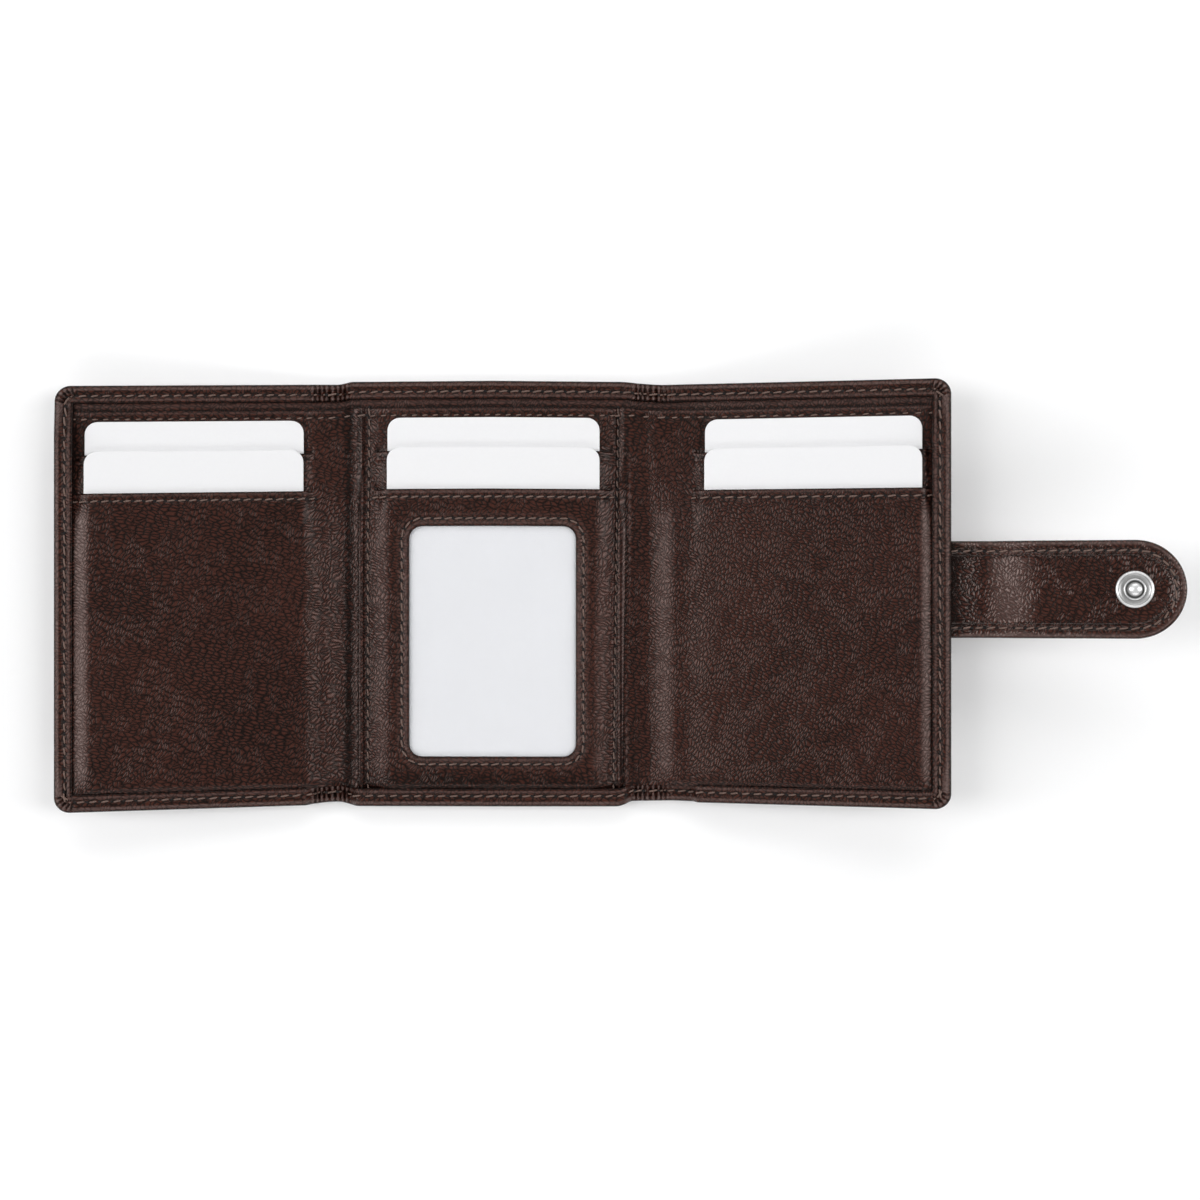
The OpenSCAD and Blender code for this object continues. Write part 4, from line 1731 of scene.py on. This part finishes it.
    def build_raised(self) -> Piece:
        """Builds the raised face with its window cut out and its side walls.

        Returns:
            The piece.
        """
        pocket = self.pocket(0.0)
        x0, x1, y0, y1 = self.window
        left, end = self.layout.middle_left, self.grid_end
        marks = beyond(x0, x1, self.AT_WINDOW) + inward(left, end, self.AT_SIDE) + self.slit_marks(pocket)
        s = lines(left, end, 0.85, marks)
        skin = Skin("middle_face")
        opened = self.open(s, pocket)[None, :]
        for layer, shut, opened_rows in self.rows():
            if layer.foot is None:
                round_it = lines(shut[0], layer.lip, 0.9, beyond(y0, y1, self.AT_WINDOW))
                shut = opened_rows = np.unique(np.round(np.concatenate([shut, round_it]), 3))
            y = mix(shut[:, None], opened_rows[:, None], opened)
            grid_s = np.broadcast_to(s[None, :], y.shape).copy()
            hole = None
            if layer.foot is None:
                mid_s, mid_y = (grid_s[:-1, :-1] + grid_s[1:, 1:]) / 2.0, (y[:-1, :-1] + y[1:, 1:]) / 2.0
                hole = (mid_s > x0) & (mid_s < x1) & (mid_y > y0) & (mid_y < y1)
                grid_s, y = self.round_window(grid_s, y)
            grid_s = grid_s + smooth((grid_s - 22.0) / 12.0) * (self.layout.middle_right(y) - end)
            is_open = np.broadcast_to(opened, y.shape)
            h = self.height(grid_s, y, layer, pocket, is_open)
            skin.grid(self.cut.place(grid_s, y, h), hole=hole, shade=self.shade(grid_s, y, layer, pocket, is_open))
            for column, flip in ((0, True), (-1, False)):
                wall_s, wall_y, crown = grid_s[:, column], y[:, column], h[:, column]
                side = [self.cut.place(wall_s, wall_y, up) for up in (crown, np.minimum(crown, 1.9))]
                skin.grid(np.stack(side, 1), flip=flip, shade=-0.9)
        return skin.build(self.finishes.inner, self.wall)

    def frame_rows(self) -> list[Row]:
        """Lays out the stitching down both sides, along the top and the slit, and round the window.

        Returns:
            The rows.
        """
        pocket = self.pocket(0.0)
        rows = self.seam_rows(self.layout.middle_left + 1.0, self.layout.right_low)
        y = np.arange(-48.6, self.layout.face_top - 0.6, 0.5)
        below = [y < self.layout.lower_slit, y < self.layout.upper_slit]
        inside = np.select(below, [self.front, self.strip], self.back)
        for s in (np.full(len(y), self.layout.middle_left + self.side_seam),
                  self.layout.middle_right(y) - self.side_seam):
            h = self.height(s, y, Layer(None, FAR, inside, True), pocket, np.zeros(len(y)))
            rows.append(Row(s, y, h + 0.1))
        x0, x1, y0, y1 = self.window
        e, r = self.frame_seam, self.window_round + self.frame_seam
        turn = np.linspace(0.0, math.pi / 2.0, 9)
        corners = ((x1 + e - r, y1 + e - r, 0.0), (x0 - e + r, y1 + e - r, 90.0), (x0 - e + r, y0 - e + r, 180.0),
                   (x1 + e - r, y0 - e + r, 270.0))
        route_s, route_y = [], []
        for cx, cy, start in corners:
            angle = turn + math.radians(start)
            route_s.extend(cx + r * np.cos(angle))
            route_y.extend(cy + r * np.sin(angle))
        route_s.append(route_s[0])
        route_y.append(route_y[0])
        s, y = densify(np.array(route_s), np.array(route_y), 0.5)
        h = self.height(s, y, Layer(None, FAR, self.front, True), pocket, np.zeros(len(s)))
        rows.append(Row(s, y, h + 0.1))
        return rows


def densify(s: Array, y: Array, step: float) -> tuple[Array, Array]:
    """Adds points to a route so that none are further apart than step.

    Args:
        s, y: place of each point on the cut.
        step: longest gap between two points.

    Returns:
        The places of the denser route.
    """
    length = np.concatenate([[0.0], np.cumsum(np.hypot(np.diff(s), np.diff(y)))])
    at = np.linspace(0.0, length[-1], max(2, int(length[-1] / step) + 1))
    return np.interp(at, length, s), np.interp(at, length, y)


# Cards, window pane and lining


@dataclass
class CardSet:
    """The six blank cards, two in each panel."""

    cut: Cut
    finishes: Finishes
    length: float = 85.6
    width: float = 53.98
    corner: float = 3.18
    thick: float = 0.5
    bevel: float = 0.12
    back_top: float = 44.3
    front_top: float = 36.75
    back_h: float = 2.4
    front_h: float = 3.7

    AT_EDGE = (0.0, 0.04, 0.12, 0.3, 0.8, 1.6, 2.4, 3.18)

    def build(self, side: str, depth: str) -> Piece:
        """Builds one card with round corners and a small bevel.

        Args:
            side: left, middle or right.
            depth: back or front.

        Returns:
            The piece.
        """
        folds = self.cut.folds
        centre = {"left": folds["left_outer"].at - 29.6, "middle": 0.5, "right": folds["right_outer"].at + 30.8}[side]
        top, h0 = (self.back_top, self.back_h) if depth == "back" else (self.front_top, self.front_h)
        bottom = top - self.length
        a = lines(0.0, self.width, 6.0, inward(0.0, self.width, self.AT_EDGE))
        b = lines(0.0, self.length, 8.0, inward(0.0, self.length, self.AT_EDGE))
        grid_a, grid_b = np.meshgrid(a, b)
        near_a, near_b = np.minimum(grid_a, self.width - grid_a), np.minimum(grid_b, self.length - grid_b)
        new_a, new_b, d = round_corner(near_a, near_b, self.corner)
        s = centre - self.width / 2.0 + np.where(grid_a < self.width / 2.0, new_a, self.width - new_a)
        y = bottom + np.where(grid_b < self.length / 2.0, new_b, self.length - new_b)
        drop = rounding(d, self.bevel)
        up, down = self.cut.place(s, y, h0 + self.thick - drop), self.cut.place(s, y, h0 + drop)
        skin = Skin(f"{side}_{depth}_card_blank")
        skin.grid(up)
        skin.grid(down, flip=True)
        rim = [np.concatenate([g[0, :-1], g[:-1, -1], g[-1, :0:-1], g[:0:-1, 0]]) for g in (down, up)]
        skin.grid(np.stack(rim), closed=True)
        return skin.build(self.finishes.card)

    def dress(self) -> list[Piece]:
        """Builds every card and lets it slide with its own body.

        Returns:
            The cards.
        """
        made = []
        for side in ("left", "middle", "right"):
            for depth in ("back", "front"):
                node = f"{side}_{depth}_card"
                card = self.build(side, depth)
                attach(card, node)
                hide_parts(node)
                made.append(card)
        return made


@dataclass
class Strap:
    """The snap strap: two leathers sewn together, with a round end.

    Attributes:
        root, tip: its two ends, beyond the right flap's fold line.
        sag, sag_from: how far it hangs down between the flap and the snap, and from where.
    """

    cut: Cut
    finishes: Finishes
    centre: float = 0.82
    width: float = 23.82
    root: float = 61.5
    tip: float = 119.9
    low: float = 1.0
    high: float = 2.8
    seam: float = 2.5
    sag: float = 1.4
    sag_from: float = 116.0

    RIM = (0.0, 0.05, 0.18, 0.4, 0.7, 1.1, 1.6, 2.0, 2.25, 2.5, 2.75, 3.0, 3.3, 3.5, 3.65, 3.85, 4.4, 5.6, 7.6,
           9.8, 11.91)

    def heights(self, s: Array, y: Array, d: Array) -> tuple[Array, Array]:
        """Gives the heights of the strap's two sides.

        Args:
            s, y: place on the cut.
            d: distance from the rim.

        Returns:
            The height of the inner side and of the outer side.
        """
        along = 0.05 * wave(s, PULL) * hump(d, self.seam, 1.0)
        fill = 0.16 * smooth((d - 4.2) / 3.0) - 0.18 * smooth((d - 3.5) / 0.25)
        hang = -self.sag * smooth((s - self.sag_from) / 8.0) * smooth((self.sag_from + 20.5 - s) / 12.5)
        up = self.high - rounding(d, 0.75) - 0.26 * hump(d, self.seam, 0.45) + along + fill
        down = self.low + rounding(d, 0.75) + 0.22 * hump(d, self.seam, 0.45) - 0.5 * along
        return up + 0.05 * ripple(s, y, 9.0, 4.0) + hang, down + hang

    def shade(self, s: Array, d: Array) -> Array:
        """Gives the strap's painted light and shade: painted highlights just inside the rim and where it rises after
        the bend, painted shade in the seam, along the inner leather's edge, at its root and on the slope before the
        rise, and a darker rim.

        Args:
            s: place across the cut.
            d: distance from the rim.

        Returns:
            The shade.
        """
        out = 1.2 * hump(d, 0.8, 0.3) - 0.8 * hump(d, 0.0, 0.35) - 0.6 * hump(d, self.seam, 0.5)
        # Painted shade along the inner leather's edge, and at the root in the flap's shadow.
        out = out - 1.1 * hump(d, 3.6, 0.25) - 1.2 * (1.0 - smooth((s - 116.0) / 2.5))
        # Painted highlight where the strap rises, painted shade on the slope before it.
        return out + (0.6 * hump(s, 129.7, 5.0) - 0.5 * hump(s, 119.5, 3.0)) * smooth((d - 0.5) / 2.0)

    def build(self, section: Section) -> Piece:
        """Builds a stretch of the strap.

        Args:
            section: the stretch, whose right end is the round tip where it has a rim.

        Returns:
            The piece.
        """
        half = self.width / 2.0
        b = lines(-half, half, 1.2, inward(-half, half, self.RIM))
        s = lines(section.start, section.end, 0.8, section.at_rim(self.RIM))
        grid_s, grid_b = np.meshgrid(s, b)
        a = section.from_rim(grid_s)
        new_a, new_edge, d = round_corner(a, half - np.abs(grid_b), half)
        new_s = grid_s - (new_a - a)
        y = self.centre + np.sign(grid_b) * (half - new_edge)
        up, down = self.heights(new_s, y, d)
        above, below = self.cut.place(new_s, y, up, False), self.cut.place(new_s, y, down, False)
        skin = Skin(section.name)
        skin.grid(above, shade=self.shade(new_s, d))
        skin.grid(below, flip=True, shade=self.shade(new_s, d))
        ends = [below[:, -1], above[:, -1]] if section.rim else [below[::-1, 0], above[::-1, 0]]
        for wall in ([below[0], above[0]], [below[-1, ::-1], above[-1, ::-1]], ends):
            skin.grid(np.stack(wall), shade=-0.8)
        return skin.build(self.finishes.strap)

    def rows(self, section: Section, start: float, back: bool) -> list[Row]:
        """Lays out the stitching of a stretch of the strap, round the tip where it has one.

        Args:
            section: the stretch.
            start: where the stitching starts.
            back: whether it is on the outer side.

        Returns:
            The rows.
        """
        r = self.width / 2.0 - self.seam
        if section.rim:
            turn = np.linspace(math.pi / 2.0, -math.pi / 2.0, 60)
            centre = section.end - self.width / 2.0
            out, home = np.arange(start, centre, 0.5), np.arange(centre, start, -0.5)
            y = np.concatenate([np.full(len(out), r), r * np.sin(turn), np.full(len(home), -r)])
            routes = [(np.concatenate([out, centre + r * np.cos(turn), home]), y)]
        else:
            s = np.arange(start, section.end + 0.01, 0.5)
            routes = [(s, np.full(len(s), r)), (s, np.full(len(s), -r))]
        rows = []
        for s, y in routes:
            up, down = self.heights(s, y + self.centre, np.full(len(s), self.seam))
            rows.append(Row(s, y + self.centre, down - 0.1 if back else up + 0.1, back, False))
        return rows


class Part(Enum):
    """The parts of the snap."""

    STUD = "snap_stud"
    CAP = "snap_cap"
    SOCKET = "snap_socket"


@dataclass
class Snap:
    """The snap fastener: a stud with its ring, its cap on the outside, and the socket in the middle panel's back."""

    cut: Cut
    finishes: Finishes
    ball: float = 1.75
    cap: float = 5.5

    def profile(self, part: Part) -> list[tuple[float, ...]]:
        """Gives the turned outline of a part.

        Args:
            part: which part.

        Returns:
            The radius, the height over its seat and the painted tone of each point, -1 for painted shade and 1 for
            painted highlight.
        """
        if part is Part.STUD:
            # Painted highlight on the ball's top and the rings' crowns, painted shade at the ball's foot and in the
            # grooves.
            ball = [(self.ball * math.sin(t), 0.75 + 1.0 * math.cos(t), 0.9 - 1.9 * smooth(t / 1.75) ** 1.5)
                    for t in np.linspace(0.0, math.pi * 0.6, 12)]
            ring = [(1.6, 0.15, -1.0), (1.98, 0.10, -1.0), (2.1, 0.3, -0.4), (2.2, 0.55, 0.4), (2.35, 0.66, 0.9),
                    (2.5, 0.62, 0.7), (2.6, 0.45, 0.0), (2.7, 0.25, -0.6), (2.95, 0.22, -0.25), (3.6, 0.28, -0.2),
                    (3.78, 0.42, -0.5), (3.92, 0.62, 0.6), (4.1, 0.68, 0.95), (4.3, 0.62, 0.8), (4.44, 0.45, 0.0),
                    (4.5, 0.1, -0.8), (4.5, -0.2, -0.8)]
            return ball + ring
        if part is Part.CAP:
            dome = [(self.cap * math.sin(t), 0.15 + 0.85 * math.cos(t)) for t in np.linspace(0.0, math.pi / 2.0, 12)]
            return dome + [(self.cap, 0.0), (self.cap - 0.15, -0.15)]
        return [(0.0, 1.3), (1.9, 1.3), (2.05, 1.1), (2.05, 0.35), (2.2, 0.12), (2.5, 0.02), (4.1, 0.02), (4.4, 0.12),
                (4.5, 0.35), (4.5, 0.7)]

    def build(self, part: Part) -> Piece:
        """Builds one part on its seat.

        Args:
            part: which part.

        Returns:
            The piece.
        """
        node = part.value
        low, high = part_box(node)
        x_mid, y_mid = (low[0] + high[0]) / 2.0 / MM, (low[1] + high[1]) / 2.0 / MM
        skin = turned(f"{node}_turned", self.profile(part))
        x, y, h = (skin.points[0] / MM).T
        if part is Part.SOCKET:
            skin.points = [np.stack([x_mid + x, y_mid + y, h], -1) * MM]
        else:
            way, seat, drift = (1.0, Strap.high, 0.25) if part is Part.STUD else (-1.0, Strap.low, -0.2)
            s_mid = float(np.interp(x_mid + drift, self.cut.x, self.cut.s))
            skin.points = [self.cut.place(s_mid + x, y_mid + y * way, seat + way * h, False)]
        skin.faces = [f[:, ::-1] for f in skin.faces]
        return skin.build(self.finishes.nickel)

    def dress(self) -> list[Piece]:
        """Builds every part of the snap and lets it ride on its body.

        Returns:
            The parts.
        """
        made = []
        for part, body in ((Part.STUD, "strap_end"), (Part.CAP, "strap_end"), (Part.SOCKET, "middle")):
            piece = self.build(part)
            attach(piece, body)
            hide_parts(*([part.value, "socket_washer"] if part is Part.SOCKET else [part.value]))
            made.append(piece)
        return made


# The wallet


@dataclass
class Wallet:
    """The whole wallet, put together from its sub-assemblies."""

    cut: Cut
    finishes: Finishes
    layout: Layout = field(init=False)
    stitching: Stitching = field(init=False)

    def __post_init__(self) -> None:
        """Lays out the main lines and prepares the stitching."""
        self.layout = Layout(self.cut)
        self.stitching = Stitching(self.cut, self.finishes)

    def finish(self, piece: Piece, nodes: Sequence[str] = (), section: Optional[Section] = None) -> None:
        """Attaches a piece to the middle panel or bakes its placement, hides the CAD nodes that it stands for, and
        logs it.

        Args:
            piece: the piece.
            nodes: the CAD nodes that it stands for.
            section: the section that it lies across, whose placement is baked, or None where it rides on the middle
                panel.
        """
        if section is None:
            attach(piece, "middle")
        else:
            section.bend(piece, self.cut)
        if nodes:
            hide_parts(*nodes)
        log.info("%s: %d faces", piece.name, len(piece.data.polygons))

    def add_hide(self) -> None:
        """Builds the hide in its four sections, with the stitching on both sides."""
        hide = Hide(self.cut, self.layout, self.finishes)
        stands_for = {
            "left_flap": ["left_shell", "left_top_hem", "left_side_edge", "left_bottom_edge"],
            "left_spine": ["left_spine_shell", "left_spine_top_hem", "left_spine_bottom_edge"],
            "right_spine": ["middle_shell", "middle_top_hem", "middle_bottom_edge", "right_spine_shell",
                            "right_spine_top_hem", "right_spine_bottom_edge"],
            "right_flap": ["right_shell", "right_top_hem", "right_side_edge", "right_bottom_edge"],
        }
        for section in self.layout.sections():
            self.finish(hide.build_section(section), stands_for[section.name], section)
            rows = hide.seam_rows(section, False) + hide.seam_rows(section, True)
            sewn = self.stitching.sew(f"rim_stitches_{section.name}", rows, hide.pitch)
            self.finish(sewn, (), section)

    def add_lining(self) -> None:
        """Builds the lining of the note compartment, a thin sheet on the hide's inner side."""
        stands_for = {"left_flap": ["left_lining"], "left_spine": ["left_spine_lining"],
                      "right_spine": ["middle_lining", "right_spine_lining"], "right_flap": ["right_lining"]}
        mouth = [40.0, 44.0, 46.0, *np.arange(46.6, 49.5, 0.4)]
        for section in self.layout.sections():
            start, end = section.start + 4.0 * (section.rim < 0), section.end - 4.0 * (section.rim > 0)
            s, y = np.meshgrid(lines(start, end, 1.0), lines(-49.6, 49.6, 6.0, mouth))
            h = 1.2 + 0.12 * ripple(s, y, 12.0, 3.0)
            skin = Skin(f"note_lining_{section.name}")
            # Painted shade at the mouth of the note compartment, below the faces' top edge, and a painted highlight
            # just above it.
            shade = 0.4 * hump(y, 48.3, 0.6) - 1.4 * (1.0 - smooth((y - 47.0) / 0.8))
            skin.grid(self.cut.place(s, y, h), shade=shade)
            self.finish(skin.build(self.finishes.lining, 0.15), stands_for[section.name], section)

    def add_faces(self) -> None:
        """Builds the faces of the flaps with the spine beside them, and the raised middle face."""
        face = Face(self.cut, self.layout, self.finishes)
        left, left_spine, right_spine, right = self.layout.sections()
        tucked = self.layout.band - self.layout.tuck
        under = 0.8
        stretches = [
            ("left_face", left, left.start + tucked, left.end, "left"),
            ("left_spine_face", left_spine, left_spine.start, self.layout.middle_left + under, "left_spine"),
            ("right_spine_face", right_spine, self.layout.right_low - under, right_spine.end, "right_spine"),
            ("right_face", right, right.start, right.end - tucked, "right"),
        ]
        parts = ("front_pocket", "upper_pocket", "pocket_back", "side_seams", "bottom_seam")
        for name, section, start, end, owner in stretches:
            nodes = [f"{owner}_facing"] if "spine" in owner else [f"{owner}_{part}" for part in parts]
            self.finish(face.build(name, start, end), nodes, section)
            pitch = 3.1 if "right" in name else self.stitching.pitch
            sewn = self.stitching.sew(f"{name}_stitches", face.seam_rows(start, end), pitch)
            self.finish(sewn, (), section)
        middle = MiddleFace(self.cut, self.layout, self.finishes)
        self.finish(middle.build_raised(), [f"middle_{part}" for part in parts])
        self.finish(self.stitching.sew("middle_face_stitches", middle.frame_rows()))
        self.add_pane(middle)

    def add_pane(self, middle: MiddleFace) -> None:
        """Builds the clear pane behind the window.

        Args:
            middle: the face with the window.
        """
        x0, x1, y0, y1 = middle.window
        lap = 1.8
        s, y = np.meshgrid(lines(x0 - lap, x1 + lap, 1.5), lines(y0 - lap, y1 + lap, 1.5))
        h = 4.42 + 0.05 * ripple(s, y, 31.0, 1.0)
        skin = Skin("window_pane")
        skin.grid(self.cut.place(s, y, h))
        self.finish(skin.build(self.finishes.vinyl, 0.16), ["id_window"])

    def add_strap(self) -> None:
        """Builds the strap in two sections, each across one of its bends, with its stitching."""
        strap = Strap(self.cut, self.finishes)
        far = self.cut.folds["right_outer"].at
        base, end = self.cut.folds["strap_base"], self.cut.folds["strap_end"]
        split = (base.at + end.at) / 2.0
        root = Section("strap_root", far + strap.root, split, base)
        tongue = Section("strap_tongue", split, far + strap.tip, end, 1)
        for section, first, nodes in (
            (root, self.layout.right_end + 0.6,
             ["strap_base_outer", "strap_base_inner", "strap_bend_outer", "strap_bend_inner"]),
            (tongue, split, ["strap_end_outer", "strap_end_inner"]),
        ):
            self.finish(strap.build(section), nodes, section)
            rows = strap.rows(section, first, False) + strap.rows(section, first, True)
            self.finish(self.stitching.sew(f"{section.name}_stitches", rows), (), section)

    def build(self) -> None:
        """Builds every sub-assembly in order."""
        self.add_hide()
        self.add_lining()
        self.add_faces()
        self.add_strap()
        for piece in CardSet(self.cut, self.finishes).dress() + Snap(self.cut, self.finishes).dress():
            log.info("%s: %d faces", piece.name, len(piece.data.polygons))


@dataclass(frozen=True)
class Studio:
    """The pale floor, the soft lights and the camera straight above."""

    camera_at: tuple[float, float, float] = (27.6, -1.75, 420.0)
    lens: float = 49.18
    aim: tuple[float, float, float] = (0.03, 0.0, 0.0)
    glow: float = 0.07
    sky: tuple[float, float] = (0.42, 0.14)

    def floor(self) -> None:
        """Makes the pale floor."""
        bpy.ops.mesh.primitive_plane_add(size=30.0, location=(0.0, 0.0, -0.0002))
        floor = bpy.context.active_object
        floor.name = "floor"
        paint = Plain("pale_floor", (0.94, 0.94, 0.945), 0.9, relief=0.0, scale=0.05, spread=0.003).make()
        shader = paint.node_tree.nodes["Principled BSDF"]
        shader.inputs["Emission Color"].default_value = (1.0, 1.0, 1.0, 1.0)
        shader.inputs["Emission Strength"].default_value = self.glow
        floor.data.materials.append(paint)

    def light(self, name: str, at: tuple[float, float, float], size: tuple[float, float], power: float) -> None:
        """Adds a soft light that points at the wallet.

        Args:
            name: its name.
            at: where it is, in metres.
            size: its two sides, in metres.
            power: its power in watts.
        """
        data = bpy.data.lights.new(name, "AREA")
        data.shape, data.size, data.size_y, data.energy = "RECTANGLE", size[0], size[1], power
        lamp = add_to_scene(name, data)
        lamp.location = at
        lamp.rotation_euler = (Vector(self.aim) - Vector(at)).to_track_quat("-Z", "Y").to_euler()

    def build(self) -> None:
        """Sets up the studio."""
        self.floor()
        self.light("left_softbox", (-1.25, 0.1, 1.05), (0.6, 1.6), 15.6)
        self.light("right_softbox", (1.28, 0.1, 1.05), (0.6, 1.6), 13.8)
        self.light("top_softbox", (0.0, 1.55, 1.2), (2.2, 0.9), 12.8)
        self.light("low_softbox", (0.0, -1.6, 1.2), (2.2, 0.9), 12.4)
        world = bpy.data.worlds.new("studio")
        world.use_nodes = True
        n = Nodes(world.node_tree)
        backdrop = world.node_tree.nodes["Background"]
        backdrop.inputs["Color"].default_value = (1.0, 1.0, 1.0, 1.0)
        way_up = n.add("ShaderNodeSeparateXYZ")
        n.put(way_up.inputs[0], n.add("ShaderNodeTexCoord").outputs["Generated"])
        n.put(backdrop.inputs["Strength"], n.ramp(way_up.outputs["Z"], 0.0, 0.45, *self.sky))
        bpy.context.scene.world = world
        data = bpy.data.cameras.new("camera")
        data.lens, data.sensor_width, data.clip_start = self.lens, 36.0, 0.01
        camera = add_to_scene("camera", data)
        camera.location = [v * MM for v in self.camera_at]
        bpy.context.scene.camera = camera
        bpy.context.scene.view_settings.view_transform = "Standard"


def main() -> None:
    """Builds the wallet and the studio."""
    logging.basicConfig(level=logging.INFO, format="%(name)s %(message)s")
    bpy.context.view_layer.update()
    Wallet(Cut(), Finishes()).build()
    Studio().build()


if __name__ == "__main__":
    main()
